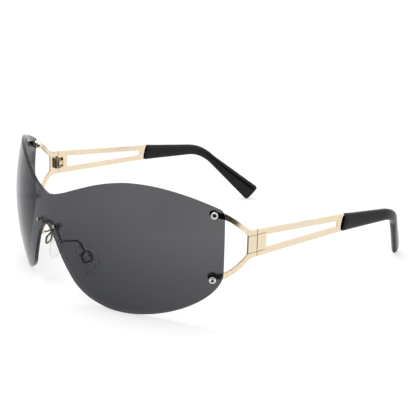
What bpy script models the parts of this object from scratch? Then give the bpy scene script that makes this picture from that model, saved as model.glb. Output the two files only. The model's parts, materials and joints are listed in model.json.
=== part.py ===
"""Rimless wrap-shield sunglasses: one curved lens, forked end pieces, openwork temples.

The front faces -Y, +Z is up and +X is the wearer's left. The glasses stand open on a table,
on the lens's lower edge and the two temple tips, with the table at z = 0.
All sizes are in metres. Every shape is first worked out with the hinge seam at y = 0,
and one empty then moves the whole assembly so that it is centred over the origin.
"""
import math

import bmesh
import bpy
from mathutils import Matrix, Vector

# Lens: a shell cut from a tilted ellipsoid
LENS_RADIUS = 0.0901
LENS_RADIUS_UPRIGHT = 0.0990
LENS_HALF_ANGLE = math.radians(55.5)
LENS_TILT = math.radians(7.1)
LENS_THICKNESS = 0.0018
LENS_RISE = 0.0368
LENS_DIP = 0.0106
LENS_END_DROP = 0.01145
LENS_FALL = 0.0197
LENS_END_RISE = 0.0200
NOTCH_HEIGHT = 0.0328
TOP_CORNER_RADIUS = 0.0018
PEAK_ANGLE_SHARE = 0.526
LOW_ANGLE_SHARE = 0.486
END_LEAN_SHARE = 0.027
BOTTOM_CURVE_POWER = 1.8
TOP_SIDE_SHARES = ((0.0, 0.0), (0.22, 0.20), (0.38, 0.44), (0.60, 0.74), (0.80, 0.925), (1.0, 1.0))
NOTCH_SIDE_SHARES = ((0.0, 1.0), (0.085, 0.93), (0.152, 0.82), (0.23, 0.625), (0.32, 0.425),
                     (0.40, 0.277), (0.515, 0.155), (0.66, 0.07), (0.80, 0.02), (1.0, 0.0))
LENS_COLUMNS = 40
LENS_ROWS = 8

# Clearances
SEAT_GAP = 0.00025
BRAZE_GAP = 0.00025
RUNNING_GAP = 0.00008
SLOT_GAP = 0.0002
SEAM_GAP = 0.00013
CUT_OVERRUN = 0.002

# Lens screws, their bushes and dome nuts
UPPER_SCREW_INSET = 0.0044
LOWER_SCREW_INSET = 0.0071
UPPER_SCREW_DROP = 0.0012
LOWER_SCREW_DROP = 0.0027
SCREW_HEAD_RADIUS = 0.00147
SCREW_HEAD_HEIGHT = 0.00085
SCREW_SHANK_RADIUS = 0.0007
SOCKET_RADIUS = 0.0006
SOCKET_DEPTH = 0.0005
BUSH_WALL = 0.0003
BUSH_FLANGE_RADIUS = 0.00175
BUSH_FLANGE_THICKNESS = 0.0004
NUT_RADIUS = 0.0013
NUT_HEIGHT = 0.0019
NUT_BORE_DEPTH = 0.0012

# Sheet metal of the end pieces and temples
PLATE_THICKNESS = 0.0011
PLATE_HEIGHT = 0.0114
EDGE_BREAK = 0.00012
GROOVE_WIDTH = 0.00025
GROOVE_DEPTH = 0.0002
HINGE_DROP = 0.0001
SEAM_BEHIND_LENS = 0.0148
END_FLARE = 0.0014
CROTCH_FORWARD = 0.0047
CROTCH_MARGIN = 0.0004
ARM_WIDTH = 0.0021
ARM_TAB_WIDTH = 0.0025
ARM_FLARE = 0.0010
TAB_RADIUS = 0.00195
TAB_RUN = 0.0036
UPPER_TAB_SLOPE = math.radians(10.0)
LOWER_TAB_SLOPE = math.radians(2.0)
ARM_START_HANDLE_SHARE = 0.34
ARM_END_HANDLE_SHARE = 0.22
ARM_START_SLOPE_SHARE = 0.78
INSET_HEIGHT = 0.0070

# Hinge between end piece and temple
BLOCK_HEIGHT = 0.0050
BLOCK_SETBACK = 0.0019
BLOCK_THICKNESS = 0.0017
BLOCK_LENGTH = 0.0038
LEAF_THICKNESS = 0.0012
KNUCKLE_RADIUS = 0.00085
KNUCKLE_SLOT = 0.0008
NECK_THICKNESS = 0.0008
BRIDGE_LENGTH = 0.0009
BLOCK_CHAMFER = 0.0005
HINGE_SHANK_RADIUS = 0.0004
HINGE_HEAD_RADIUS = 0.00065
HINGE_HEAD_HEIGHT = 0.0004
HINGE_SLOT_WIDTH = 0.00025

# Temples
TEMPLE_TOE_IN = math.radians(2.8)
WINDOW_FRONT = 0.0052
WINDOW_LENGTH = 0.0438
TEMPLE_END_LENGTH = 0.0030
TEMPLE_TAPER = 0.0038
BAR_WIDTH = 0.0027
CORE_LENGTH = 0.0130
CORE_HEIGHT = 0.0026
CORE_THICKNESS = 0.0008
CORE_CLEARANCE = 0.0002

# Temple tips
TIP_OVERLAP_HEIGHT = 0.0001
TIP_THICKNESS = 0.0035
TIP_STRAIGHT = 0.0361
TIP_REACH = 0.0251
TIP_INWARD = 0.0160
TIP_STRAIGHT_INWARD = 0.0006
TIP_STRAIGHT_DROP = 0.0029
TIP_BEND_HEIGHT = 0.0043
TIP_PADDLE_HEIGHT = 0.0095
TIP_PADDLE_THICKNESS = 0.0038
TIP_BEND_RADIUS = 0.0078
TIP_END_ROUND = 0.0018
TIP_END_CORNER_SHARE = 0.8
TIP_START_ROUND = 0.0004
TIP_SEAM_LEAN = 0.0009
TIP_SECTION_POWER = 2.8

# Nose bridge, pad arms and pads
BRIDGE_TOP_ABOVE_NOTCH = 0.0004
BRIDGE_HALF_SPAN = 0.0081
BRIDGE_DROP = 0.0100
BRIDGE_END_TURN = math.radians(78)
BRIDGE_WIDTH = 0.0016
BRIDGE_THICKNESS = 0.0009
NOSE_LUG_RADIUS = 0.0013
NOSE_LUG_INSET = 0.0001
NOSE_LUG_START_SHARE = 0.5
NOSE_SCREW_OFFSET = 0.0064
NOSE_SCREW_ABOVE_NOTCH = 0.0002
NOSE_HEAD_RADIUS = 0.0008
NOSE_HEAD_HEIGHT = 0.0005
NOSE_SHANK_RADIUS = 0.00045
NOSE_NUT_RADIUS = 0.0010
NOSE_NUT_HEIGHT = 0.0011
PAD_ARM_RADIUS = 0.00045
PAD_ARM_START_SHARE = 0.95
PAD_ARM_OUT = 0.0075
PAD_ARM_BACK = 0.0066
PAD_ARM_DROP = 0.0064
PAD_ARM_SHARES = ((0.0, 0.0, 0.0), (0.03, 0.14, 0.02), (0.12, 0.42, 0.05), (0.22, 0.70, 0.08), (0.28, 0.86, 0.11),
                  (0.35, 0.95, 0.17), (0.45, 1.00, 0.27), (0.62, 1.01, 0.48), (0.84, 1.00, 0.78))
PAD_RING_WIDTH = 0.0040
PAD_RING_LENGTH = 0.0044
PAD_RING_CORNER = 0.0012
PAD_LENGTH = 0.0150
PAD_WIDTH = 0.0086
PAD_THICKNESS = 0.0024
PAD_STANDOFF = 0.0028
PAD_SHIFT = 0.0008
PAD_PINCH_SHARE = 0.22
PAD_FULLNESS = 2.8
PAD_SEGMENTS = 18
PAD_LONG_DIRECTION = (0.37, 0.18, -0.91)
PAD_FACE_DIRECTION = (-0.92, 0.33, -0.10)
BOSS_CLEARANCE = 0.00035
BOSS_PROUD = 0.0003

# Roundness
TURNED_STEPS = 20
SMALL_TURNED_STEPS = 16
SECTION_POINTS = 16
SMOOTH_ANGLE = math.radians(35)

SIDES = (("left", 1), ("right", -1))
UP = Vector((0, 0, 1))
BACK = Vector((0, 1, 0))


def clear_scene():
    for item in list(bpy.data.objects):
        bpy.data.objects.remove(item, do_unlink=True)


def new_collection(name):
    collection = bpy.data.collections.new(name)
    bpy.context.scene.collection.children.link(collection)
    return collection


def new_material(name, color, roughness, metallic=0.0, alpha=1.0):
    material = bpy.data.materials.new(name)
    material.use_nodes = True
    shader = material.node_tree.nodes["Principled BSDF"]
    shader.inputs["Base Color"].default_value = (*color, 1.0)
    shader.inputs["Roughness"].default_value = roughness
    shader.inputs["Metallic"].default_value = metallic
    shader.inputs["Alpha"].default_value = alpha
    material.diffuse_color = (*color, alpha)
    return material


def smooth_share(share):
    share = min(max(share, 0.0), 1.0)
    return share * share * (3 - 2 * share)


def mix(first, second, share):
    return first + (second - first) * share


def curve_through(shares, position):
    """Height of a smooth curve through a table of (place, height) shares."""
    last = len(shares) - 1
    index = max(i for i in range(last) if shares[i][0] <= position or i == 0)
    slopes = []
    for i in range(last + 1):
        before, after = max(i - 1, 0), min(i + 1, last)
        flat_end = i in (0, last)
        rise = shares[after][1] - shares[before][1]
        slopes.append(0.0 if flat_end else rise / (shares[after][0] - shares[before][0]))
    (x0, y0), (x1, y1) = shares[index], shares[index + 1]
    span = x1 - x0
    step = (position - x0) / span
    return ((2 * step ** 3 - 3 * step ** 2 + 1) * y0 + (step ** 3 - 2 * step ** 2 + step) * span * slopes[index]
            + (3 * step ** 2 - 2 * step ** 3) * y1 + (step ** 3 - step ** 2) * span * slopes[index + 1])


# Lens surface
def ellipsoid_point(angle, height, depth=0.0):
    """Point of the tilted ellipsoid about its own centre, set in from the outer face by depth."""
    narrowing = math.sqrt(1 - (height / LENS_RADIUS_UPRIGHT) ** 2)
    local = Vector((LENS_RADIUS * math.sin(angle) * narrowing, -LENS_RADIUS * math.cos(angle) * narrowing, height))
    normal = Vector((local.x / LENS_RADIUS ** 2, local.y / LENS_RADIUS ** 2, height / LENS_RADIUS_UPRIGHT ** 2))
    return Matrix.Rotation(LENS_TILT, 3, "X") @ (local - depth * normal.normalized())


def lens_normal(angle, height):
    return (ellipsoid_point(angle, height) - ellipsoid_point(angle, height, LENS_THICKNESS)).normalized()


def top_edge(share):
    if share < PEAK_ANGLE_SHARE:
        height = LENS_RISE - LENS_DIP * (1 - curve_through(TOP_SIDE_SHARES, share / PEAK_ANGLE_SHARE))
    else:
        fall = (share - PEAK_ANGLE_SHARE) / (1 - PEAK_ANGLE_SHARE)
        height = LENS_RISE - LENS_END_DROP * fall ** 2
    from_end = (1 - share) * LENS_HALF_ANGLE * LENS_RADIUS
    inside_corner = max(TOP_CORNER_RADIUS - from_end, 0.0)
    return height - TOP_CORNER_RADIUS + math.sqrt(TOP_CORNER_RADIUS ** 2 - inside_corner ** 2)


def bottom_edge(share):
    if share < LOW_ANGLE_SHARE:
        return NOTCH_HEIGHT * curve_through(NOTCH_SIDE_SHARES, share / LOW_ANGLE_SHARE) - LENS_FALL
    along = (share - LOW_ANGLE_SHARE) / (1 - LOW_ANGLE_SHARE)
    lift = 1 - (1 - along ** BOTTOM_CURVE_POWER) ** (1 / BOTTOM_CURVE_POWER)
    return LENS_END_RISE * lift - LENS_FALL


def lens_grid_place(column, row):
    """Angle and height of a grid point; columns crowd at the nose notch and at the lens's end."""
    share = (1 - math.cos(math.pi * column / LENS_COLUMNS)) / 2
    upward = row / LENS_ROWS
    angle = LENS_HALF_ANGLE * share * (1 - END_LEAN_SHARE * share ** 4 * (1 - upward))
    return angle, mix(bottom_edge(share), top_edge(share), upward)


END_HEIGHT_MIDDLE = (LENS_RISE - LENS_END_DROP + LENS_END_RISE - LENS_FALL) / 2
LENS_END = ellipsoid_point(LENS_HALF_ANGLE, END_HEIGHT_MIDDLE)
LENS_LOWEST = min(ellipsoid_point(*lens_grid_place(column, 0)).z for column in range(LENS_COLUMNS + 1))
LENS_CENTRE = Vector((0, -SEAM_BEHIND_LENS - LENS_END.y, -LENS_LOWEST))


def lens_point(angle, height, depth=0.0):
    return ellipsoid_point(angle, height, depth) + LENS_CENTRE


UPPER_SCREW = (LENS_HALF_ANGLE - UPPER_SCREW_INSET / LENS_RADIUS, LENS_RISE - LENS_END_DROP - UPPER_SCREW_DROP)
LOWER_SCREW = (LENS_HALF_ANGLE - LOWER_SCREW_INSET / LENS_RADIUS, LENS_END_RISE - LENS_FALL - LOWER_SCREW_DROP)
LENS_SCREWS = (("upper", UPPER_SCREW), ("lower", LOWER_SCREW))

# Places that follow from the lens
FLANGE_DEPTH = LENS_THICKNESS + SEAT_GAP
TAB_DEPTH = FLANGE_DEPTH + BUSH_FLANGE_THICKNESS + SEAT_GAP
NUT_DEPTH = TAB_DEPTH + PLATE_THICKNESS + SEAT_GAP
BUSH_RADIUS = SCREW_SHANK_RADIUS + RUNNING_GAP + BUSH_WALL
LENS_HOLE_RADIUS = BUSH_RADIUS + RUNNING_GAP
PLATE_X = LENS_END.x + END_FLARE
HINGE_Z = (lens_point(*UPPER_SCREW).z + lens_point(*LOWER_SCREW).z) / 2 - HINGE_DROP
AXIS_X = PLATE_X - PLATE_THICKNESS - BRAZE_GAP - BLOCK_THICKNESS / 2
BLOCK_OUTER_X = PLATE_X - PLATE_THICKNESS - BRAZE_GAP
BLOCK_BOTTOM = HINGE_Z - BLOCK_HEIGHT / 2
BLOCK_TOP = HINGE_Z + BLOCK_HEIGHT / 2
KNUCKLE_BOTTOM = BLOCK_BOTTOM + LEAF_THICKNESS
KNUCKLE_TOP = BLOCK_TOP - LEAF_THICKNESS
HINGE_HOLE_RADIUS = HINGE_SHANK_RADIUS + RUNNING_GAP


# Building blocks
def link(item, collection, material=None, parent=None):
    collection.objects.link(item)
    if material:
        item.data.materials.append(material)
    if parent:
        item.parent = parent
    return item


def mesh_item(name, points, faces, side=1, edges=()):
    """Mesh object from computed points; side -1 mirrors it to the wearer's right."""
    mesh = bpy.data.meshes.new(name)
    placed = [(side * p[0], p[1], p[2]) for p in points]
    turned = faces if side > 0 else [tuple(reversed(face)) for face in faces]
    mesh.from_pydata(placed, edges, turned)
    mesh.update()
    return bpy.data.objects.new(name, mesh)


def shade(item, angle=SMOOTH_ANGLE):
    item.data.shade_smooth()
    item.data.set_sharp_from_angle(angle=angle)


def loft(name, rings, side=1):
    """Closed body through rings of equal point counts, listed anticlockwise seen from the front."""
    count = len(rings[0])
    points = [point for ring in rings for point in ring]
    faces = [tuple(reversed(range(count)))]
    for index in range(len(rings) - 1):
        low, high = index * count, (index + 1) * count
        for k in range(count):
            after = (k + 1) % count
            faces.append((low + k, low + after, high + after, high + k))
    faces.append(tuple(range((len(rings) - 1) * count, len(rings) * count)))
    item = mesh_item(name, points, faces, side)
    builder = bmesh.new()
    builder.from_mesh(item.data)
    bmesh.ops.recalc_face_normals(builder, faces=builder.faces)
    builder.to_mesh(item.data)
    builder.free()
    shade(item)
    return item


def sheet(name, strips, thickness, side=1):
    """Open surface of point rows, thickened inwards; strips sharing points are joined first."""
    points, faces = [], []
    for strip in strips:
        start, width = len(points), len(strip[0])
        points += [point for row in strip for point in row]
        for r in range(len(strip) - 1):
            for c in range(width - 1):
                corner = start + r * width + c
                faces.append((corner, corner + 1, corner + width + 1, corner + width))
    item = mesh_item(name, points, faces, side)
    builder = bmesh.new()
    builder.from_mesh(item.data)
    bmesh.ops.remove_doubles(builder, verts=builder.verts, dist=SEAM_GAP / 4)
    outward = Vector((side, 0, 0))
    bmesh.ops.recalc_face_normals(builder, faces=builder.faces)
    if sum(face.normal.dot(outward) * face.calc_area() for face in builder.faces) < 0:
        bmesh.ops.reverse_faces(builder, faces=builder.faces)
    builder.to_mesh(item.data)
    builder.free()
    solidify = item.modifiers.new("thickness", "SOLIDIFY")
    solidify.thickness = thickness
    solidify.offset = -1
    solidify.use_even_offset = True
    return item


def soften(item, width=EDGE_BREAK):
    bevel = item.modifiers.new("edge_break", "BEVEL")
    bevel.width = width
    bevel.segments = 1
    bevel.limit_method = "ANGLE"
    bevel.angle_limit = math.radians(50)


def aim(item, place, axis):
    item.location = place
    item.rotation_mode = "QUATERNION"
    item.rotation_quaternion = axis.to_track_quat("Z", "Y")


def box(name, low, high, side=1):
    """Box between two corners, given for the wearer's left and mirrored for the right."""
    middle = (low + high) / 2
    size = high - low
    builder = bmesh.new()
    bmesh.ops.create_cube(builder, size=1.0)
    for vertex in builder.verts:
        vertex.co = Vector((vertex.co.x * size.x, vertex.co.y * size.y, vertex.co.z * size.z))
    mesh = bpy.data.meshes.new(name)
    builder.to_mesh(mesh)
    builder.free()
    item = bpy.data.objects.new(name, mesh)
    item.location = (side * middle.x, middle.y, middle.z)
    return item


def wedge(name, corner, reach, top, side=1):
    """Upright three-sided prism with a square corner and two equal sides, up to a given height."""
    plan = (corner, corner + Vector((reach, 0, 0)), corner + Vector((0, reach, 0)))
    points = [Vector((p.x, p.y, height)) for height in (corner.z, top) for p in plan]
    faces = [(2, 1, 0), (3, 4, 5), (0, 1, 4, 3), (1, 2, 5, 4), (2, 0, 3, 5)]
    return mesh_item(name, points, faces, side)


def rod(name, radius, low, high, place, steps=SMALL_TURNED_STEPS):
    """Upright closed cylinder between two heights."""
    builder = bmesh.new()
    bmesh.ops.create_cone(builder, cap_ends=True, segments=steps, radius1=radius, radius2=radius, depth=high - low)
    mesh = bpy.data.meshes.new(name)
    builder.to_mesh(mesh)
    builder.free()
    item = bpy.data.objects.new(name, mesh)
    item.location = (place.x, place.y, (low + high) / 2)
    return item


def turned(name, profile, steps=TURNED_STEPS, closed=False):
    """Turned body: a profile at +X, read down its outer side, swept round Z."""
    points = [(radius, 0, height) for radius, height in profile]
    edges = [(k, k + 1) for k in range(len(points) - 1)]
    if closed:
        edges.append((len(points) - 1, 0))
    item = mesh_item(name, points, [], 1, edges)
    screw = item.modifiers.new("turn", "SCREW")
    screw.axis = "Z"
    screw.steps = steps
    screw.render_steps = steps
    screw.use_merge_vertices = True
    screw.merge_threshold = SEAM_GAP / 10
    screw.use_smooth_shade = False
    return item


def cutter(item, parent=None):
    link(item, CUTTERS, parent=parent)
    item.hide_render = True
    item.display_type = "WIRE"
    return item


def combine(item, other, operation):
    boolean = item.modifiers.new(operation.lower(), "BOOLEAN")
    boolean.operation = operation
    boolean.solver = "EXACT"
    boolean.object = other


def cut(item, other):
    combine(item, other, "DIFFERENCE")


def join(item, other):
    combine(item, other, "UNION")


def mirrored(point, side):
    return Vector((side * point.x, point.y, point.z))


# Lens
def lens_hole(name, place, axis, radius):
    builder = bmesh.new()
    depth = 2 * (LENS_THICKNESS + PLATE_THICKNESS + CUT_OVERRUN)
    bmesh.ops.create_cone(builder, cap_ends=True, segments=TURNED_STEPS, radius1=radius, radius2=radius, depth=depth)
    mesh = bpy.data.meshes.new(name)
    builder.to_mesh(mesh)
    builder.free()
    item = bpy.data.objects.new(name, mesh)
    aim(item, place, axis)
    return cutter(item, ROOT)


def make_lens(material):
    rows = [[lens_point(*lens_grid_place(column, row)) for column in range(LENS_COLUMNS + 1)]
            for row in range(LENS_ROWS + 1)]
    for row in rows:
        row[0].x = 0
    width = LENS_COLUMNS + 1
    points = [point for row in rows for point in row]
    faces = [(r * width + c, r * width + c + 1, (r + 1) * width + c + 1, (r + 1) * width + c)
             for r in range(LENS_ROWS) for c in range(LENS_COLUMNS)]
    lens = mesh_item("shield_lens", points, faces)
    lens.data.shade_smooth()
    mirror = lens.modifiers.new("other_half", "MIRROR")
    mirror.merge_threshold = SEAM_GAP / 10
    shell = lens.modifiers.new("thickness", "SOLIDIFY")
    shell.thickness = LENS_THICKNESS
    shell.offset = -1
    shell.use_even_offset = True
    for word, side in SIDES:
        for level, (angle, height) in LENS_SCREWS:
            place = mirrored(lens_point(angle, height), side)
            axis = mirrored(lens_normal(angle, height), side)
            cut(lens, lens_hole("lens_hole_" + level + "_" + word, place, axis, LENS_HOLE_RADIUS))
        angle, height = nose_screw_place()
        place = mirrored(lens_point(angle, height), side)
        axis = mirrored(lens_normal(angle, height), side)
        cut(lens, lens_hole("nose_hole_" + word, place, axis, NOSE_SHANK_RADIUS + RUNNING_GAP))
    return link(lens, PARTS, material, ROOT)


# End pieces
def tab_frame(place):
    """Centre of a fork arm's tab on the bush, its outward normal, and its forward direction."""
    angle, height = place
    centre = lens_point(angle, height, TAB_DEPTH)
    normal = lens_normal(angle, height)
    level = UP.cross(normal).normalized()
    forward = -level if level.y > 0 else level
    lift = normal.cross(forward)
    lift = lift if lift.z > 0 else -lift
    return centre, normal, forward, lift


def arm_columns(place, direction):
    """Columns of one fork arm from the crotch to the tab's end, as lower and upper edge points.

    direction is 1 for the upper arm and -1 for the lower one."""
    centre, _, forward, lift = tab_frame(place)
    slope = UPPER_TAB_SLOPE if direction > 0 else LOWER_TAB_SLOPE
    ahead = (forward * math.cos(slope) + lift * direction * math.sin(slope)).normalized()
    inner = INSET_HEIGHT / 2 + CROTCH_MARGIN
    outer = PLATE_HEIGHT / 2 + ARM_FLARE
    start = Vector((PLATE_X, -CROTCH_FORWARD, HINGE_Z + direction * (inner + outer) / 2))
    finish = centre - ahead * TAB_RUN
    reach = (finish - start).length
    start_way = Vector((0, -1, direction * ARM_START_SLOPE_SHARE)).normalized()
    handle_a = start + start_way * reach * ARM_START_HANDLE_SHARE
    handle_b = finish - ahead * reach * ARM_END_HANDLE_SHARE
    columns = []
    steps = 10
    for k in range(steps + 1):
        t = k / steps
        rest = 1 - t
        spot = start * rest ** 3 + handle_a * 3 * rest ** 2 * t + handle_b * 3 * rest * t ** 2 + finish * t ** 3
        way = ((handle_a - start) * rest ** 2 + (handle_b - handle_a) * 2 * rest * t
               + (finish - handle_b) * t ** 2).normalized()
        rise = mix(UP, lift, smooth_share(t)).normalized()
        flat = math.sqrt(max(1 - way.dot(rise) ** 2, 0.01))
        width = mix(ARM_WIDTH, ARM_TAB_WIDTH, smooth_share(2 * t - 1))
        half = mix((outer - inner) / 2, width / 2 / flat, smooth_share(2 * t))
        columns.append((spot - rise * half, spot + rise * half))
    for turn in (-50, -30, -10, 10, 28, 46, 62, 76):
        distance = TAB_RUN + TAB_RADIUS * math.sin(math.radians(turn))
        half = max(TAB_RADIUS * math.cos(math.radians(turn)), ARM_TAB_WIDTH / 2 if turn < 0 else 0)
        spot = finish + ahead * distance
        columns.append((spot - lift * half, spot + lift * half))
    return columns


def plate_columns():
    """Lower and upper edge heights of the end piece's plate, from the crotch back to the seam."""
    steps = 5
    columns = []
    for k in range(steps + 1):
        forward = mix(CROTCH_FORWARD, SEAM_GAP, k / steps)
        half = PLATE_HEIGHT / 2 + ARM_FLARE * (forward / CROTCH_FORWARD) ** 3
        columns.append((forward, half))
    return columns


def arm_rows(columns, count):
    return [[mix(low, high, r / count) for low, high in columns] for r in range(count + 1)]


def make_end_piece(word, side, material):
    """Y-shaped sheet: a plate at the seam and two arms that bend in behind the lens."""
    inner = INSET_HEIGHT / 2 + CROTCH_MARGIN
    groove_line = (INSET_HEIGHT + GROOVE_WIDTH) / 2
    plate = plate_columns()

    def at(forward, height):
        return Vector((PLATE_X, -forward, HINGE_Z + height))

    across = 1
    upper_plate = [[at(f, mix(inner, half, r / across)) for f, half in plate] for r in range(across + 1)]
    lower_plate = [[at(f, mix(-half, -inner, r / across)) for f, half in plate] for r in range(across + 1)]
    middle_plate = [[at(f, mix(-inner, inner, r / across)) for f, _ in plate] for r in range(across + 1)]
    upper_arm = arm_rows(arm_columns(UPPER_SCREW, 1), across)
    lower_arm = arm_rows(arm_columns(LOWER_SCREW, -1), across)
    piece = sheet("end_piece_" + word, (upper_plate, lower_plate, middle_plate, upper_arm, lower_arm),
                  PLATE_THICKNESS, side)
    soften(piece)
    for level, place in LENS_SCREWS:
        centre, normal, _, _ = tab_frame(place)
        name = "tab_hole_" + level + "_" + word
        radius = SCREW_SHANK_RADIUS + RUNNING_GAP
        cut(piece, lens_hole(name, mirrored(centre, side), mirrored(normal, side), radius))
    for level, height in (("top", groove_line), ("bottom", -groove_line)):
        groove = box("end_groove_" + level + "_" + word,
                     Vector((PLATE_X - GROOVE_DEPTH, -CROTCH_FORWARD - CUT_OVERRUN, HINGE_Z + height - GROOVE_WIDTH / 2)),
                     Vector((PLATE_X + CUT_OVERRUN, CUT_OVERRUN, HINGE_Z + height + GROOVE_WIDTH / 2)), side)
        cut(piece, cutter(groove, ROOT))
    return link(piece, PARTS, material, ROOT)


# Hinge
def hinge_axis(side):
    return Vector((side * AXIS_X, 0, 0))


def make_hinge_block(word, side, material):
    """Front half of the hinge: two leaves with round lugs and a bridge, open to the inside."""
    low = Vector((BLOCK_OUTER_X - BLOCK_THICKNESS, SEAM_GAP - CROTCH_FORWARD + BLOCK_SETBACK, BLOCK_BOTTOM))
    high = Vector((BLOCK_OUTER_X, -SLOT_GAP, BLOCK_TOP))
    block = box("hinge_block_" + word, low, high, side)
    lug = rod("lug_" + word, KNUCKLE_RADIUS, BLOCK_BOTTOM, BLOCK_TOP, hinge_axis(side), TURNED_STEPS)
    join(block, cutter(lug, ROOT))
    slot = box("block_slot_" + word,
               Vector((low.x - CUT_OVERRUN, low.y + BRIDGE_LENGTH, KNUCKLE_BOTTOM)),
               Vector((high.x + CUT_OVERRUN, CUT_OVERRUN, KNUCKLE_TOP)), side)
    cut(block, cutter(slot, ROOT))
    run = BLOCK_CHAMFER + CUT_OVERRUN
    corner = Vector((low.x - CUT_OVERRUN, low.y - CUT_OVERRUN, low.z - CUT_OVERRUN))
    chamfer = wedge("block_chamfer_" + word, corner, run + CUT_OVERRUN, high.z + CUT_OVERRUN, side)
    cut(block, cutter(chamfer, ROOT))
    hole = rod("lug_hole_" + word, HINGE_HOLE_RADIUS, BLOCK_BOTTOM - CUT_OVERRUN, BLOCK_TOP + CUT_OVERRUN,
               hinge_axis(side))
    cut(block, cutter(hole, ROOT))
    return link(block, PARTS, material, ROOT)


def make_hinge_screw(word, side, material):
    shank = HINGE_SHANK_RADIUS
    head = HINGE_HEAD_RADIUS
    top = BLOCK_TOP + SEAT_GAP + HINGE_HEAD_HEIGHT
    slope = HINGE_HEAD_HEIGHT / 3
    profile = ((0, top), (head - slope, top), (head, top - slope), (head, BLOCK_TOP + SEAT_GAP),
               (shank, BLOCK_TOP + SEAT_GAP), (shank, BLOCK_BOTTOM - slope), (0, BLOCK_BOTTOM - slope))
    screw = turned("hinge_screw_" + word, profile, SMALL_TURNED_STEPS)
    screw.location = hinge_axis(side)
    slot = box("screw_slot_" + word,
               Vector((AXIS_X - HINGE_SLOT_WIDTH / 2, -head - CUT_OVERRUN, top - HINGE_HEAD_HEIGHT / 2)),
               Vector((AXIS_X + HINGE_SLOT_WIDTH / 2, head + CUT_OVERRUN, top + CUT_OVERRUN)), side)
    cut(screw, cutter(slot, ROOT))
    return link(screw, PARTS, material, ROOT)


# Temples, in their own frame: x from the hinge axis, y back from the seam
TEMPLE_OUTER_X = PLATE_X - AXIS_X
TEMPLE_MIDDLE_X = TEMPLE_OUTER_X - PLATE_THICKNESS / 2
TEMPLE_BOTTOM = HINGE_Z - PLATE_HEIGHT / 2
WINDOW_REAR = WINDOW_FRONT + WINDOW_LENGTH
TEMPLE_LENGTH = WINDOW_REAR + TEMPLE_END_LENGTH


def temple_top(y):
    return HINGE_Z + PLATE_HEIGHT / 2 - TEMPLE_TAPER * max(y, 0.0) / TEMPLE_LENGTH


TEMPLE_REAR_MIDDLE = (TEMPLE_BOTTOM + temple_top(TEMPLE_LENGTH)) / 2
TEMPLE_REAR_HALF = (temple_top(TEMPLE_LENGTH) - TEMPLE_BOTTOM) / 2


def temple_rear(z):
    """Place of the temple's rear edge, which leans back towards its top."""
    return TEMPLE_LENGTH + TIP_SEAM_LEAN * (z - TEMPLE_REAR_MIDDLE) / TEMPLE_REAR_HALF


def temple_pivot(word, side):
    pivot = bpy.data.objects.new("temple_axis_" + word, None)
    pivot.location = hinge_axis(side)
    pivot.rotation_euler = (0, 0, side * TEMPLE_TOE_IN)
    pivot.parent = ROOT
    PARTS.objects.link(pivot)
    return pivot


def make_temple(word, side, pivot, material):
    """Openwork sheet: two bars that draw together, closed at both ends, with a core for the tip."""
    seam = SEAM_GAP

    def at(y, z):
        return Vector((TEMPLE_OUTER_X, y, z))

    def lower_inner():
        return TEMPLE_BOTTOM + BAR_WIDTH

    def upper_inner(y):
        return temple_top(y) - BAR_WIDTH

    core_low = TEMPLE_REAR_MIDDLE - CORE_HEIGHT / 2
    core_high = TEMPLE_REAR_MIDDLE + CORE_HEIGHT / 2
    bar_places = [mix(WINDOW_FRONT, WINDOW_REAR, k / 6) for k in range(7)]
    places = [seam] + bar_places
    rear_top = temple_rear(temple_top(TEMPLE_LENGTH))
    rear_upper, rear_lower = temple_rear(upper_inner(TEMPLE_LENGTH)), temple_rear(lower_inner())
    lower_bar = [[at(y, TEMPLE_BOTTOM) for y in places + [temple_rear(TEMPLE_BOTTOM)]],
                 [at(y, lower_inner()) for y in places + [rear_lower]]]
    upper_bar = [[at(y, upper_inner(y)) for y in places + [rear_upper]],
                 [at(y, temple_top(y)) for y in places + [rear_top]]]
    front = [seam, WINDOW_FRONT]
    front_end = [[at(y, lower_inner()) for y in front], [at(y, upper_inner(y)) for y in front]]
    rear_end = [[at(WINDOW_REAR, lower_inner()), at(rear_lower, lower_inner())],
                [at(WINDOW_REAR, upper_inner(WINDOW_REAR)), at(rear_upper, upper_inner(rear_upper))]]
    temple = sheet("temple_" + word, (lower_bar, upper_bar, front_end, rear_end), PLATE_THICKNESS, side)
    core = box("core_" + word,
               Vector((TEMPLE_MIDDLE_X - CORE_THICKNESS / 2, WINDOW_REAR + TEMPLE_END_LENGTH / 2, core_low)),
               Vector((TEMPLE_MIDDLE_X + CORE_THICKNESS / 2, TEMPLE_LENGTH + CORE_LENGTH, core_high)), side)
    soften(temple)
    join(temple, cutter(core, pivot))
    inner = INSET_HEIGHT / 2
    for level, height in (("top", inner), ("bottom", -inner - GROOVE_WIDTH)):
        groove = box("temple_groove_" + level + "_" + word,
                     Vector((TEMPLE_OUTER_X - GROOVE_DEPTH, -CUT_OVERRUN, HINGE_Z + height)),
                     Vector((TEMPLE_OUTER_X + CUT_OVERRUN, WINDOW_FRONT - BAR_WIDTH / 4, HINGE_Z + height + GROOVE_WIDTH)),
                     side)
        cut(temple, cutter(groove, pivot))
    return link(temple, PARTS, material, pivot)


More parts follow.
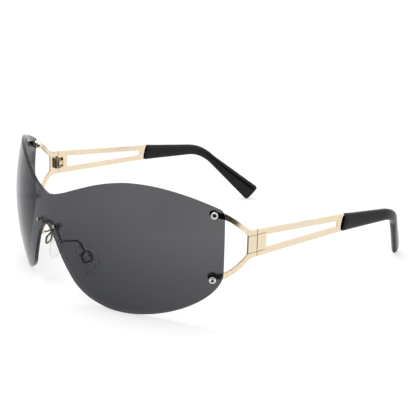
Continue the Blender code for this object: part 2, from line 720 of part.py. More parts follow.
def make_temple_hinge(word, side, pivot, material):
    """Rear half of the hinge: a block behind the plate and one knuckle between the front's leaves."""
    clear = KNUCKLE_RADIUS + KNUCKLE_SLOT
    half = BLOCK_THICKNESS / 2
    block = box("temple_hinge_" + word, Vector((-half, clear, BLOCK_BOTTOM)),
                Vector((half, BLOCK_LENGTH, BLOCK_TOP)), side)
    low, high = KNUCKLE_BOTTOM + SLOT_GAP, KNUCKLE_TOP - SLOT_GAP
    neck_outer = half - EDGE_BREAK
    neck = box("hinge_neck_" + word, Vector((neck_outer - NECK_THICKNESS, 0, low)),
               Vector((neck_outer, clear + EDGE_BREAK, high)), side)
    join(block, cutter(neck, pivot))
    knuckle = rod("knuckle_" + word, KNUCKLE_RADIUS, low, high, Vector((0, 0, 0)), TURNED_STEPS)
    join(block, cutter(knuckle, pivot))
    hole = rod("knuckle_hole_" + word, HINGE_HOLE_RADIUS, BLOCK_BOTTOM - CUT_OVERRUN, BLOCK_TOP + CUT_OVERRUN,
               Vector((0, 0, 0)))
    cut(block, cutter(hole, pivot))
    return link(block, PARTS, material, pivot)


# Temple tips
def tip_sections(end_height):
    """Rings of the tip: straight behind the temple, then bent down and inwards to a paddle."""
    start = Vector((TEMPLE_MIDDLE_X, TEMPLE_LENGTH + SEAT_GAP, TEMPLE_REAR_MIDDLE))
    bend = start + Vector((-TIP_STRAIGHT_INWARD, TIP_STRAIGHT, -TIP_STRAIGHT_DROP))
    finish = Vector((bend.x - TIP_INWARD, bend.y + TIP_REACH, end_height))
    first_way = (bend - start).normalized()
    last_way = (finish - bend).normalized()
    straight = (bend - start).length - TIP_BEND_RADIUS
    drop = (finish - bend).length - TIP_BEND_RADIUS
    stations = [(start + first_way * straight * share, first_way) for share in (0.0, 0.3, 0.65, 1.0)]
    upright = len(stations) - 1
    into, out = bend - first_way * TIP_BEND_RADIUS, bend + last_way * TIP_BEND_RADIUS
    for k in range(1, 7):
        t = k / 7
        spot = into * (1 - t) ** 2 + bend * 2 * (1 - t) * t + out * t ** 2
        way = ((bend - into) * (1 - t) + (out - bend) * t).normalized()
        stations.append((spot, way))
    body = drop - TIP_END_ROUND
    for share in (0.0, 0.25, 0.5, 0.75, 1.0):
        stations.append((out + last_way * body * share, last_way))
    for k in range(1, 5):
        turn = math.sin(math.pi / 2 * k / 4.2)
        stations.append((out + last_way * (body + TIP_END_ROUND * turn), last_way))
    first_height = PLATE_HEIGHT - TEMPLE_TAPER + 2 * TIP_OVERLAP_HEIGHT
    total = sum((b[0] - a[0]).length for a, b in zip(stations, stations[1:]))
    rings, travelled = [], 0.0
    for index, (spot, way) in enumerate(stations):
        if index:
            travelled += (spot - stations[index - 1][0]).length
        along = travelled / total
        bend_along = (TIP_STRAIGHT + TIP_BEND_RADIUS) / total
        if along < bend_along:
            height = mix(first_height, TIP_BEND_HEIGHT, along / bend_along)
            thick = TIP_THICKNESS
        else:
            after = (along - bend_along) / (1 - bend_along)
            height = mix(TIP_BEND_HEIGHT, TIP_PADDLE_HEIGHT, after)
            thick = mix(TIP_THICKNESS, TIP_PADDLE_THICKNESS, after)
        beyond = travelled - (total - TIP_END_ROUND * math.sin(math.pi / 2 * 4 / 4.2))
        if beyond > 0:
            narrowing = math.sqrt(max(1 - (beyond / TIP_END_ROUND) ** 2, 0))
            height -= 2 * TIP_END_ROUND * (1 - narrowing) * TIP_END_CORNER_SHARE
            thick *= math.sqrt(narrowing)
        square_to = BACK if index < upright else way
        rise = (UP - square_to * UP.dot(square_to)).normalized()
        out_way = square_to.cross(rise).normalized()
        rings.append(rounded_ring(spot, out_way * thick / 2, rise * height / 2))
    spot, way = stations[0]
    side_way = BACK.cross(UP)
    outset = TIP_START_ROUND
    up_way = UP + BACK * TIP_SEAM_LEAN / TEMPLE_REAR_HALF
    rings[0] = rounded_ring(spot, side_way * (TIP_THICKNESS / 2 - outset), up_way * (first_height / 2 - outset))
    rings.insert(1, rounded_ring(spot + way * outset, side_way * TIP_THICKNESS / 2, up_way * first_height / 2))
    return rings


def rounded_ring(centre, across, rise):
    """Superellipse ring about a centre, from its two half axes."""
    ring = []
    power = 2 / TIP_SECTION_POWER
    for k in range(SECTION_POINTS):
        turn = 2 * math.pi * (k + 0.5) / SECTION_POINTS
        c, s = math.cos(turn), math.sin(turn)
        ring.append(centre + across * math.copysign(abs(c) ** power, c) + rise * math.copysign(abs(s) ** power, s))
    return ring


def standing_tip():
    """Tip whose lowest point meets the table."""
    end_height = TIP_PADDLE_HEIGHT / 2
    for _ in range(4):
        rings = tip_sections(end_height)
        end_height -= min(point.z for ring in rings for point in ring)
    return tip_sections(end_height)


def make_tip(word, side, pivot, material):
    tip = loft("temple_tip_" + word, standing_tip(), side)
    half_thick = CORE_THICKNESS / 2 + CORE_CLEARANCE
    half_height = CORE_HEIGHT / 2 + CORE_CLEARANCE
    slot = box("core_slot_" + word,
               Vector((TEMPLE_MIDDLE_X - half_thick, TEMPLE_LENGTH - CUT_OVERRUN, TEMPLE_REAR_MIDDLE - half_height)),
               Vector((TEMPLE_MIDDLE_X + half_thick, TEMPLE_LENGTH + CORE_LENGTH + CORE_CLEARANCE,
                       TEMPLE_REAR_MIDDLE + half_height)), side)
    cut(tip, cutter(slot, pivot))
    return link(tip, PARTS, material, pivot)


# Lens fasteners
def dome(radius, low, high, steps=4):
    """Profile of a dome from its top on the axis down to its rim."""
    return [(radius * math.sin(math.pi / 2 * k / steps), low + (high - low) * math.cos(math.pi / 2 * k / steps))
            for k in range(steps + 1)]


def make_lens_screw(name, place, side, material):
    angle, height = place
    rim = SCREW_HEAD_HEIGHT / 3
    end = -(NUT_DEPTH + NUT_BORE_DEPTH - SEAT_GAP)
    profile = dome(SCREW_HEAD_RADIUS, SEAT_GAP + rim, SEAT_GAP + SCREW_HEAD_HEIGHT)
    profile += [(SCREW_HEAD_RADIUS, SEAT_GAP), (SCREW_SHANK_RADIUS, SEAT_GAP), (SCREW_SHANK_RADIUS, end), (0, end)]
    screw = turned(name, profile)
    aim(screw, mirrored(lens_point(angle, height), side), mirrored(lens_normal(angle, height), side))
    builder = bmesh.new()
    bmesh.ops.create_cone(builder, cap_ends=True, segments=6, radius1=SOCKET_RADIUS, radius2=SOCKET_RADIUS,
                          depth=2 * CUT_OVERRUN)
    mesh = bpy.data.meshes.new(name + "_socket")
    builder.to_mesh(mesh)
    builder.free()
    socket = bpy.data.objects.new(name + "_socket", mesh)
    lift = SEAT_GAP + SCREW_HEAD_HEIGHT - SOCKET_DEPTH + CUT_OVERRUN
    aim(socket, mirrored(lens_point(angle, height, -lift), side), mirrored(lens_normal(angle, height), side))
    cut(screw, cutter(socket, ROOT))
    return link(screw, PARTS, material, ROOT)


def make_bush(name, place, side, material):
    """Top-hat bush: a sleeve in the lens's hole, a flange between the lens and the tab."""
    angle, height = place
    bore = SCREW_SHANK_RADIUS + RUNNING_GAP
    back = -(FLANGE_DEPTH + BUSH_FLANGE_THICKNESS)
    profile = ((bore, -SEAT_GAP), (BUSH_RADIUS, -SEAT_GAP), (BUSH_RADIUS, -FLANGE_DEPTH),
               (BUSH_FLANGE_RADIUS, -FLANGE_DEPTH), (BUSH_FLANGE_RADIUS, back), (bore, back))
    bush = turned(name, profile, closed=True)
    aim(bush, mirrored(lens_point(angle, height), side), mirrored(lens_normal(angle, height), side))
    return link(bush, PARTS, material, ROOT)


def make_lens_nut(name, place, side, material):
    angle, height = place
    bore = SCREW_SHANK_RADIUS + RUNNING_GAP
    face = -NUT_DEPTH
    profile = [(0, face - NUT_BORE_DEPTH), (bore, face - NUT_BORE_DEPTH), (bore, face), (NUT_RADIUS, face)]
    skirt = NUT_HEIGHT * 0.35
    curve = [(radius, face - skirt - depth) for radius, depth in dome(NUT_RADIUS, 0, NUT_HEIGHT - skirt)]
    profile += list(reversed(curve))
    nut = turned(name, profile)
    aim(nut, mirrored(lens_point(angle, height), side), mirrored(lens_normal(angle, height), side))
    return link(nut, PARTS, material, ROOT)


# Nose bridge
BRIDGE_TOP = NOTCH_HEIGHT - LENS_FALL + BRIDGE_TOP_ABOVE_NOTCH


def bridge_place(share):
    """Angle and height on the lens of the bridge's arched centre line; share runs from -1 to 1."""
    turn = BRIDGE_END_TURN * share
    return BRIDGE_HALF_SPAN * math.sin(turn) / LENS_RADIUS, BRIDGE_TOP - BRIDGE_DROP * (1 - math.cos(turn))


def nose_screw_place():
    return NOSE_SCREW_OFFSET / LENS_RADIUS, NOTCH_HEIGHT - LENS_FALL + NOSE_SCREW_ABOVE_NOTCH


def facing_sheet(name, rows, thickness, side=1):
    """Sheet whose rows run upwards and whose columns run to the wearer's left, thickened backwards."""
    width = len(rows[0])
    points = [point for row in rows for point in row]
    faces = [(r * width + c, r * width + c + 1, (r + 1) * width + c + 1, (r + 1) * width + c)
             for r in range(len(rows) - 1) for c in range(width - 1)]
    item = mesh_item(name, points, faces, side)
    solidify = item.modifiers.new("thickness", "SOLIDIFY")
    solidify.thickness = thickness
    solidify.offset = -1
    solidify.use_even_offset = True
    return item


def bridge_strip():
    """Arched strip with rounded ends; its columns crowd at the ends."""
    steps = 12
    depth = LENS_THICKNESS + SEAT_GAP
    rows = [[], [], []]
    end = lens_point(*bridge_place(1), depth)
    for k in range(-steps, steps + 1):
        share = math.sin(math.pi / 2 * k / steps)
        nudge = 1 / (4 * steps)
        middle = lens_point(*bridge_place(share), depth)
        along = lens_point(*bridge_place(share + nudge), depth) - lens_point(*bridge_place(share - nudge), depth)
        across = along.cross(lens_normal(*bridge_place(share))).normalized()
        across = across if across.z > 0 or share * across.x > 0 else -across
        from_end = (mirrored(end, math.copysign(1, share)) - middle).length
        half = BRIDGE_WIDTH / 2
        if from_end < half:
            half = max(math.sqrt(half ** 2 - (half - from_end) ** 2), half / 3)
        for row, way in zip(rows, (-1, 0, 1)):
            row.append(middle + across * half * way)
    return facing_sheet("nose_bridge", rows, BRIDGE_THICKNESS)


def bridge_lug(word, side):
    """Round-ended lug from the strip's shoulder out to the nose screw, let in from both faces."""
    depth = LENS_THICKNESS + SEAT_GAP + NOSE_LUG_INSET
    foot = lens_point(*bridge_place(NOSE_LUG_START_SHARE), depth)
    head = lens_point(*nose_screw_place(), depth)
    along = (head - foot).normalized()
    across = lens_normal(*nose_screw_place()).cross(along).normalized()
    columns = [(foot, NOSE_LUG_RADIUS)]
    for k in range(6):
        turn = math.pi / 2 * k / 6
        columns.append((head + along * NOSE_LUG_RADIUS * math.sin(turn), NOSE_LUG_RADIUS * math.cos(turn)))
    rows = [[spot + across * half * way for spot, half in columns] for way in (-1, 1)]
    return facing_sheet("nose_lug_" + word, rows, BRIDGE_THICKNESS - 2 * NOSE_LUG_INSET, side)


def make_nose_bridge(material):
    bridge = bridge_strip()
    soften(bridge)
    for word, side in SIDES:
        join(bridge, cutter(bridge_lug(word, side), ROOT))
        angle, height = nose_screw_place()
        place = mirrored(lens_point(angle, height), side)
        axis = mirrored(lens_normal(angle, height), side)
        cut(bridge, lens_hole("bridge_hole_" + word, place, axis, NOSE_SHANK_RADIUS + RUNNING_GAP))
    return link(bridge, PARTS, material, ROOT)


def make_nose_screw(word, side, material):
    angle, height = nose_screw_place()
    bridge_back = LENS_THICKNESS + SEAT_GAP + BRIDGE_THICKNESS
    end = -(bridge_back + SEAT_GAP + NOSE_NUT_HEIGHT / 2)
    profile = dome(NOSE_HEAD_RADIUS, SEAT_GAP + NOSE_HEAD_HEIGHT / 4, SEAT_GAP + NOSE_HEAD_HEIGHT)
    profile += [(NOSE_HEAD_RADIUS, SEAT_GAP), (NOSE_SHANK_RADIUS, SEAT_GAP), (NOSE_SHANK_RADIUS, end), (0, end)]
    screw = turned("nose_screw_" + word, profile, SMALL_TURNED_STEPS)
    aim(screw, mirrored(lens_point(angle, height), side), mirrored(lens_normal(angle, height), side))
    return link(screw, PARTS, material, ROOT)


def make_nose_nut(word, side, material):
    angle, height = nose_screw_place()
    face = -(LENS_THICKNESS + SEAT_GAP + BRIDGE_THICKNESS + SEAT_GAP)
    bore = NOSE_SHANK_RADIUS + RUNNING_GAP
    floor = face - NOSE_NUT_HEIGHT / 2 - SEAT_GAP
    skirt = NOSE_NUT_HEIGHT * 0.3
    profile = [(0, floor), (bore, floor), (bore, face), (NOSE_NUT_RADIUS, face)]
    curve = [(radius, face - skirt - depth) for radius, depth in dome(NOSE_NUT_RADIUS, 0, NOSE_NUT_HEIGHT - skirt)]
    profile += list(reversed(curve))
    nut = turned("nose_nut_" + word, profile, SMALL_TURNED_STEPS)
    aim(nut, mirrored(lens_point(angle, height), side), mirrored(lens_normal(angle, height), side))
    return link(nut, PARTS, material, ROOT)


# Pad arms and pads
def pad_frame():
    """Ring centre, long direction downwards, face direction towards the nose, and width direction."""
    leg_depth = LENS_THICKNESS + SEAT_GAP + BRIDGE_THICKNESS + BRAZE_GAP + PAD_ARM_RADIUS
    leg = lens_point(*bridge_place(PAD_ARM_START_SHARE), leg_depth)
    ring = leg + Vector((PAD_ARM_OUT, PAD_ARM_BACK, -PAD_ARM_DROP))
    long_way = Vector(PAD_LONG_DIRECTION).normalized()
    face_way = Vector(PAD_FACE_DIRECTION)
    face_way = (face_way - long_way * face_way.dot(long_way)).normalized()
    width_way = face_way.cross(long_way).normalized()
    return leg, ring, long_way, face_way, width_way


def ring_outline(points_per_corner=3):
    """Rounded rectangle about the origin, starting at the middle of its upper side."""
    half_w, half_l = PAD_RING_WIDTH / 2, PAD_RING_LENGTH / 2
    corner = PAD_RING_CORNER
    outline = [(0.0, -half_l)]
    for centre_w, centre_l, start in ((half_w - corner, corner - half_l, -90), (half_w - corner, half_l - corner, 0),
                                      (corner - half_w, half_l - corner, 90), (corner - half_w, corner - half_l, 180)):
        for k in range(points_per_corner + 1):
            turn = math.radians(start + 90 * k / points_per_corner)
            outline.append((centre_w + corner * math.cos(turn), centre_l + corner * math.sin(turn)))
    outline.append((-PAD_ARM_RADIUS - BRAZE_GAP, -half_l))
    return outline


def make_pad_arm(word, side, material):
    """Wire that runs back from the bridge's leg, turns down and ends in a rectangular eye."""
    leg, ring, long_way, _, width_way = pad_frame()
    reach = ring - long_way * PAD_RING_LENGTH / 2 - leg
    path = [leg + Vector((reach.x * a, reach.y * b, reach.z * c)) for a, b, c in PAD_ARM_SHARES]
    path += [ring + width_way * w + long_way * l for w, l in ring_outline()]
    curve = bpy.data.curves.new("pad_arm_" + word, "CURVE")
    curve.dimensions = "3D"
    curve.bevel_depth = PAD_ARM_RADIUS
    curve.bevel_resolution = 2
    curve.use_fill_caps = True
    spline = curve.splines.new("POLY")
    spline.points.add(len(path) - 1)
    for point, place in zip(spline.points, path):
        point.co = (side * place.x, place.y, place.z, 1)
    arm = bpy.data.objects.new("pad_arm_" + word, curve)
    return link(arm, PARTS, material, ROOT)


def pad_pivot(word, side):
    pivot = bpy.data.objects.new("pad_axis_" + word, None)
    pivot.location = mirrored(pad_frame()[1], side)
    pivot.parent = ROOT
    PARTS.objects.link(pivot)
    return pivot


def pad_matrix(side):
    """Axes of the pad: width, long and face direction as columns."""
    _, _, long_way, face_way, width_way = pad_frame()
    rows = [mirrored(way, side) for way in (width_way * side, long_way, face_way)]
    return Matrix(rows).transposed().to_4x4()


def make_pad(word, side, pivot, material):
    """Soft drop-shaped pad: a ball flattened to a full-rimmed lozenge, narrower towards its top."""
    ball = bmesh.new()
    bmesh.ops.create_uvsphere(ball, u_segments=PAD_SEGMENTS, v_segments=PAD_SEGMENTS // 2, radius=1.0)
    for vertex in ball.verts:
        rim = math.hypot(vertex.co.x, vertex.co.y)
        fullness = (rim ** PAD_FULLNESS + abs(vertex.co.z) ** PAD_FULLNESS) ** (-1 / PAD_FULLNESS)
        w, l, f = vertex.co * fullness
        pinch = 1 - PAD_PINCH_SHARE * max(-l, 0)
        vertex.co = Vector((w * PAD_WIDTH / 2 * pinch, l * PAD_LENGTH / 2, f * PAD_THICKNESS / 2))
    mesh = bpy.data.meshes.new("nose_pad_" + word)
    ball.to_mesh(mesh)
    ball.free()
    pad = bpy.data.objects.new("nose_pad_" + word, mesh)
    mesh.shade_smooth()
    _, _, long_way, face_way, _ = pad_frame()
    offset = mirrored(face_way * (PAD_STANDOFF + PAD_THICKNESS / 2) + long_way * PAD_SHIFT, side)
    pad.matrix_local = Matrix.Translation(offset) @ pad_matrix(side)
    pad.parent = pivot
    PARTS.objects.link(pad)
    pad.data.materials.append(material)
    return pad


def make_boss(word, side, pivot, material):
    """Boss that holds the pad in the arm's eye."""
    eye_w = PAD_RING_WIDTH / 2 - PAD_ARM_RADIUS - BOSS_CLEARANCE
    eye_l = PAD_RING_LENGTH / 2 - PAD_ARM_RADIUS - BOSS_CLEARANCE
    back = PAD_ARM_RADIUS + BOSS_PROUD
    front = PAD_STANDOFF - SEAT_GAP
    boss = box("pad_boss_" + word, Vector((-eye_w, -eye_l, -back)), Vector((eye_w, eye_l, front)))
    offset = boss.location.copy()
    soften(boss, PAD_RING_CORNER / 4)
    turn = pad_matrix(side)
    boss.matrix_local = Matrix.Translation(turn @ offset) @ turn
    boss.parent = pivot
    PARTS.objects.link(boss)
    boss.data.materials.append(material)
    return boss


clear_scene()
PARTS = new_collection("shield_sunglasses")
CUTTERS = new_collection("cutters")

tip_rear = max((Matrix.Rotation(TEMPLE_TOE_IN, 3, "Z") @ point).y for ring in standing_tip() for point in ring)
nose_head_front = lens_point(*nose_screw_place(), -SEAT_GAP - NOSE_HEAD_HEIGHT).y
lens_front = min(lens_point(*lens_grid_place(c, r)).y for c in range(LENS_COLUMNS + 1) for r in range(LENS_ROWS + 1))
ROOT = bpy.data.objects.new("glasses_frame", None)
ROOT.location = (0, -(tip_rear + min(lens_front, nose_head_front)) / 2, 0)
PARTS.objects.link(ROOT)

smoke = new_material("smoke_lens", (0.05, 0.05, 0.06), 0.05, alpha=0.8)
gold = new_material("pale_gold", (0.86, 0.72, 0.52), 0.15, metallic=1.0)
steel = new_material("polished_steel", (0.78, 0.77, 0.74), 0.12, metallic=1.0)
black = new_material("black_acetate", (0.012, 0.012, 0.014), 0.18)
clear = new_material("clear_nylon", (0.85, 0.86, 0.86), 0.2, alpha=0.5)
silicone = new_material("clear_silicone", (0.82, 0.83, 0.84), 0.3, alpha=0.45)

make_lens(smoke)
make_nose_bridge(gold)
for word, side in SIDES:
    make_end_piece(word, side, gold)
    make_hinge_block(word, side, gold)
    make_hinge_screw(word, side, steel)
    for level, place in LENS_SCREWS:
        make_lens_screw("lens_screw_" + level + "_" + word, place, side, steel)
        make_bush("lens_bush_" + level + "_" + word, place, side, clear)
        make_lens_nut("lens_nut_" + level + "_" + word, place, side, steel)
    make_nose_screw(word, side, steel)
    make_nose_nut(word, side, steel)
    make_pad_arm(word, side, gold)
    temple_axis = temple_pivot(word, side)
    make_temple(word, side, temple_axis, gold)
    make_temple_hinge(word, side, temple_axis, gold)
    make_tip(word, side, temple_axis, black)
    pad_axis = pad_pivot(word, side)
    make_pad(word, side, pad_axis, silicone)
    make_boss(word, side, pad_axis, clear)
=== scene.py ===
"""Dressed model of the rimless wrap-shield sunglasses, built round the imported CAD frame.

The front faces -Y, +Z is up, +X is the wearer's left, and the table is at z = 0. Lengths are in metres.
Most pieces are surfaces worked out with numpy. The hinge pieces, the bridge strip and the pad studs are copies
of their CAD nodes with merged faces and broken edges. Each piece stands for one CAD node.
"""

import json
import math

import bmesh
import bpy
import numpy as np
from mathutils import Matrix, Vector


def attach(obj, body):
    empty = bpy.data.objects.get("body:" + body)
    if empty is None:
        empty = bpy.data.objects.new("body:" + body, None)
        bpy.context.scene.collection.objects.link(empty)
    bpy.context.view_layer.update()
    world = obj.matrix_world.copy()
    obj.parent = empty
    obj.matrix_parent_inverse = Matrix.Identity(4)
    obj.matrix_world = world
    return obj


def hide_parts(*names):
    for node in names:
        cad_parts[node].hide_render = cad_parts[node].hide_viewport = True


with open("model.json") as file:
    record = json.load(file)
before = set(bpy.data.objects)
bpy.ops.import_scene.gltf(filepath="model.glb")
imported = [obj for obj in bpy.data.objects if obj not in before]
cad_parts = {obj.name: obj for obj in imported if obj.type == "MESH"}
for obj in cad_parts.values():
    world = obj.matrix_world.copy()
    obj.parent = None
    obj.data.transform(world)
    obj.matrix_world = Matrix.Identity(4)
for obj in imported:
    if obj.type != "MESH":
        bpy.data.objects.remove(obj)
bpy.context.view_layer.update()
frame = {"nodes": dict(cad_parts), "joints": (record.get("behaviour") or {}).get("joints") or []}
JOINTS = {joint["name"]: joint for joint in frame["joints"]}
AXIS_X, SEAM_Y, HINGE_Z = JOINTS["temple_left_fold"]["pos_m"]
PAD_RING = np.array(JOINTS["pad_left_rock"]["pos_m"])
SIDES = (("left", 1), ("right", -1))

# Lens
LENS_RADIUS = 0.0901
LENS_RADIUS_UPRIGHT = 0.0990
LENS_HALF_ANGLE = math.radians(55.5)
LENS_TILT = math.radians(7.1)
LENS_THICKNESS = 0.0018
LENS_RISE = 0.0368
LENS_DIP = 0.0106
LENS_END_DROP = 0.01145
LENS_FALL = 0.0197
LENS_END_RISE = 0.0200
NOTCH_HEIGHT = 0.0328
TOP_CORNER_RADIUS = 0.0018
PEAK_ANGLE_SHARE = 0.526
LOW_ANGLE_SHARE = 0.486
END_LEAN_SHARE = 0.027
BOTTOM_CURVE_POWER = 1.8
TOP_SIDE_SHARES = ((0.0, 0.0), (0.22, 0.20), (0.38, 0.44), (0.60, 0.74), (0.80, 0.925), (1.0, 1.0))
NOTCH_SIDE_SHARES = ((0.0, 1.0), (0.085, 0.93), (0.152, 0.82), (0.23, 0.625), (0.32, 0.425),
                     (0.40, 0.277), (0.515, 0.155), (0.66, 0.07), (0.80, 0.02), (1.0, 0.0))
LENS_EDGE_ROUND = 0.00018
LENS_HALF_COLUMNS = 96
LENS_ROWS = 48
CAD_COLUMNS = 40
EVEN_SPACING_SHARE = 0.35
QUARTER_POINTS = 5
FACE_NORMAL_COSINE = 0.985
CUT_NORMAL_COSINE = 0.6

# Gaps and fasteners of the lens
SEAT_GAP = 0.00025
RUNNING_GAP = 0.00008
CUT_BEYOND = 0.001
LENS_DRILL_SPAN = (-0.004, 0.003)
TAB_DRILL_SPAN = (-0.006, 0.001)
UPPER_SCREW_INSET = 0.0044
LOWER_SCREW_INSET = 0.0071
UPPER_SCREW_DROP = 0.0012
LOWER_SCREW_DROP = 0.0027
SCREW_HEAD_RADIUS = 0.00147
SCREW_HEAD_HEIGHT = 0.00085
SCREW_SHANK_RADIUS = 0.0007
SOCKET_RADIUS = 0.0006
SCREW_EDGE = 0.00006
SHANK_INTO_NUT = 0.0009
SOCKET_DEPTH = 0.0005
SOCKET_FLOOR_SHARE = 0.96
SOCKET_WALL_SHARE = 0.9
SOCKET_MOUTH_SHARE = 1.12
SOCKET_FIND_SHARE = 1.01
DOME_START_SHARE = 1.05
BUSH_WALL = 0.0003
BUSH_FLANGE_RADIUS = 0.00175
BUSH_FLANGE_THICKNESS = 0.0004
BUSH_EDGE = 0.00008
NUT_RADIUS = 0.0013
NUT_HEIGHT = 0.0019
NUT_BORE_DEPTH = 0.0012
NUT_EDGE = 0.00012
NUT_SKIRT_SHARE = 0.35
NOSE_SCREW_OFFSET = 0.0064
NOSE_SCREW_ABOVE_NOTCH = 0.0002
NOSE_HEAD_RADIUS = 0.0008
NOSE_HEAD_HEIGHT = 0.00049
NOSE_SHANK_RADIUS = 0.00045
NOSE_NUT_RADIUS = 0.0010
NOSE_NUT_HEIGHT = 0.0011
NOSE_EDGE = 0.00005
NOSE_NUT_EDGE = 0.0001
NOSE_NUT_SKIRT_SHARE = 0.3
BRIDGE_THICKNESS = 0.0009

# Sheet metal
PLATE_THICKNESS = 0.0011
PLATE_HEIGHT = 0.0114
SHEET_EDGE_ROUND = 0.00016
WIDEST_ROUND_SHARE = 0.49
GROOVE_WIDTH = 0.00025
GROOVE_DEPTH = 0.0002
GROOVE_FIND_HALF_SHARE = 0.52
GROOVE_FIND_DEPTH_SHARES = (0.05, 1.05)
SEAM_BEHIND_LENS = 0.0148
SEAM_GAP = 0.00013
END_FLARE = 0.0014
CROTCH_FORWARD = 0.0047
CROTCH_MARGIN = 0.0004
ARM_WIDTH = 0.0021
ARM_TAB_WIDTH = 0.0025
ARM_FLARE = 0.0010
TAB_RADIUS = 0.00195
TAB_RUN = 0.0036
UPPER_TAB_SLOPE = math.radians(10.0)
LOWER_TAB_SLOPE = math.radians(2.0)
ARM_START_HANDLE_SHARE = 0.34
ARM_END_HANDLE_SHARE = 0.22
ARM_START_SLOPE_SHARE = 0.78
INSET_HEIGHT = 0.0070
ARM_POINTS = 41
TAB_POINTS = 37
TAB_TURN_DEGREES = (-58, 86)
RIM_POINTS = 16
SEAM_POINTS = 31
WINDOW_SIDE_POINTS = 16

# Temples and tips
TEMPLE_TOE_IN = math.radians(2.8)
WINDOW_FRONT = 0.0052
WINDOW_LENGTH = 0.0438
TEMPLE_END_LENGTH = 0.0030
TEMPLE_TAPER = 0.0038
BAR_WIDTH = 0.0027
TIP_OVERLAP_HEIGHT = 0.0001
TIP_THICKNESS = 0.0035
TIP_STRAIGHT = 0.0361
TIP_REACH = 0.0251
TIP_INWARD = 0.0160
TIP_STRAIGHT_INWARD = 0.0006
TIP_STRAIGHT_DROP = 0.0029
TIP_BEND_HEIGHT = 0.0043
TIP_PADDLE_HEIGHT = 0.0095
TIP_PADDLE_THICKNESS = 0.0038
TIP_BEND_RADIUS = 0.0078
TIP_END_ROUND = 0.0018
TIP_END_CORNER_SHARE = 0.8
TIP_START_ROUND = 0.0004
TIP_SEAM_LEAN = 0.0009
TIP_LEAN_FADE = 0.0080
TIP_SECTION_POWER = 2.8
TIP_PADDLE_POWER = 2.1
TIP_BODY_STEPS = 24
TIP_BEND_STEPS = 30
TIP_END_STEPS = 12
TIP_END_REACH_SHARE = 0.995
TIP_SECTION_CHANGE_SPEED = 3
TIP_LOWERING_STEPS = 5

# Pad arms and pads
BRIDGE_HALF_SPAN = 0.0081
BRIDGE_DROP = 0.0100
BRIDGE_END_TURN = math.radians(78)
BRIDGE_TOP_ABOVE_NOTCH = 0.0004
PAD_ARM_RADIUS = 0.00045
PAD_ARM_START_SHARE = 0.95
PAD_ARM_SHARES = ((0.0, 0.0, 0.0), (0.03, 0.14, 0.02), (0.12, 0.42, 0.05), (0.22, 0.70, 0.08), (0.28, 0.86, 0.11),
                  (0.35, 0.95, 0.17), (0.45, 1.00, 0.27), (0.62, 1.01, 0.48), (0.84, 1.00, 0.78))
PAD_RING_WIDTH = 0.0040
PAD_RING_LENGTH = 0.0044
PAD_RING_CORNER = 0.0012
PAD_LENGTH = 0.0162
PAD_WIDTH = 0.0086
PAD_THICKNESS = 0.0024
PAD_STANDOFF = 0.0028
PAD_SHIFT = 0.0014
PAD_PINCH_SHARE = 0.22
PAD_FULLNESS = 2.8
PAD_TOP_LIFT = 0.0003
PAD_BULGE = 1.28
PAD_CROWN_SHARE = 0.10
PAD_DISH_SHARE = 0.12
PAD_DISH_NARROWNESS = (2.2, 2.6)
PAD_LONG_DIRECTION = (0.37, 0.18, -0.91)
PAD_FACE_DIRECTION = (-0.92, 0.33, -0.10)

MERGE_DISTANCE = 2e-7


# Curves and frames
def unit(vectors):
    """Vectors divided by their length."""
    return vectors / np.linalg.norm(vectors, axis=-1, keepdims=True)


def mix(first, second, share):
    """Straight-line mix: first + (second - first) share."""
    return first + (second - first) * share


def smooth_share(share):
    """S curve from 0 to 1: s^2 (3 - 2 s), held at both ends."""
    share = np.clip(share, 0.0, 1.0)
    return share * share * (3 - 2 * share)


def cubic(s, first, second, first_slope, second_slope):
    """Cubic between two values, with weights 2s^3 - 3s^2 + 1 and 3s^2 - 2s^3.

    The slopes at its ends have the weights s^3 - 2s^2 + s and s^3 - s^2."""
    return ((2 * s**3 - 3 * s**2 + 1) * first + (s**3 - 2 * s**2 + s) * first_slope
            + (3 * s**2 - 2 * s**3) * second + (s**3 - s**2) * second_slope)


def curve_through(table, places):
    """Cubic curve through a table of (place, height), level at both ends, read at an array of places."""
    x, y = np.array(table).T
    slope = np.zeros_like(y)
    slope[1:-1] = (y[2:] - y[:-2]) / (x[2:] - x[:-2])
    k = np.clip(np.searchsorted(x, places, side="right") - 1, 0, len(x) - 2)
    span = x[k + 1] - x[k]
    return cubic((places - x[k]) / span, y[k], y[k + 1], span * slope[k], span * slope[k + 1])


def smooth_path(points, steps):
    """Path through points: on each leg a cubic whose end slopes are half the chord between its neighbours."""
    before = np.vstack([2 * points[:1] - points[1:2], points[:-1]])
    after = np.vstack([points[1:], 2 * points[-1:] - points[-2:-1]])
    slope = (after - before) / 2
    ends = (item[:, None, :] for item in (points[:-1], points[1:], slope[:-1], slope[1:]))
    legs = cubic((np.arange(steps) / steps)[None, :, None], *ends)
    return np.vstack([legs.reshape(-1, 3), points[-1:]])


# Lens surface
TILT = np.array(Matrix.Rotation(LENS_TILT, 3, "X"))
LENS_AXES = np.array([LENS_RADIUS, LENS_RADIUS, LENS_RADIUS_UPRIGHT])


def ellipsoid_point(angle, height, depth=0.0):
    """x = R sin(angle) n, y = -R cos(angle) n, z = height, with n = sqrt(1 - (height / U)^2).

    The point is moved in along the surface normal by depth, and the whole is tilted about X."""
    angle, height = np.broadcast_arrays(np.asarray(angle, float), np.asarray(height, float))
    narrowing = np.sqrt(1 - (height / LENS_RADIUS_UPRIGHT) ** 2)
    local = np.stack([LENS_RADIUS * np.sin(angle) * narrowing, -LENS_RADIUS * np.cos(angle) * narrowing, height], -1)
    normal = unit(local / LENS_AXES**2)
    return (local - np.asarray(depth)[..., None] * normal) @ TILT.T


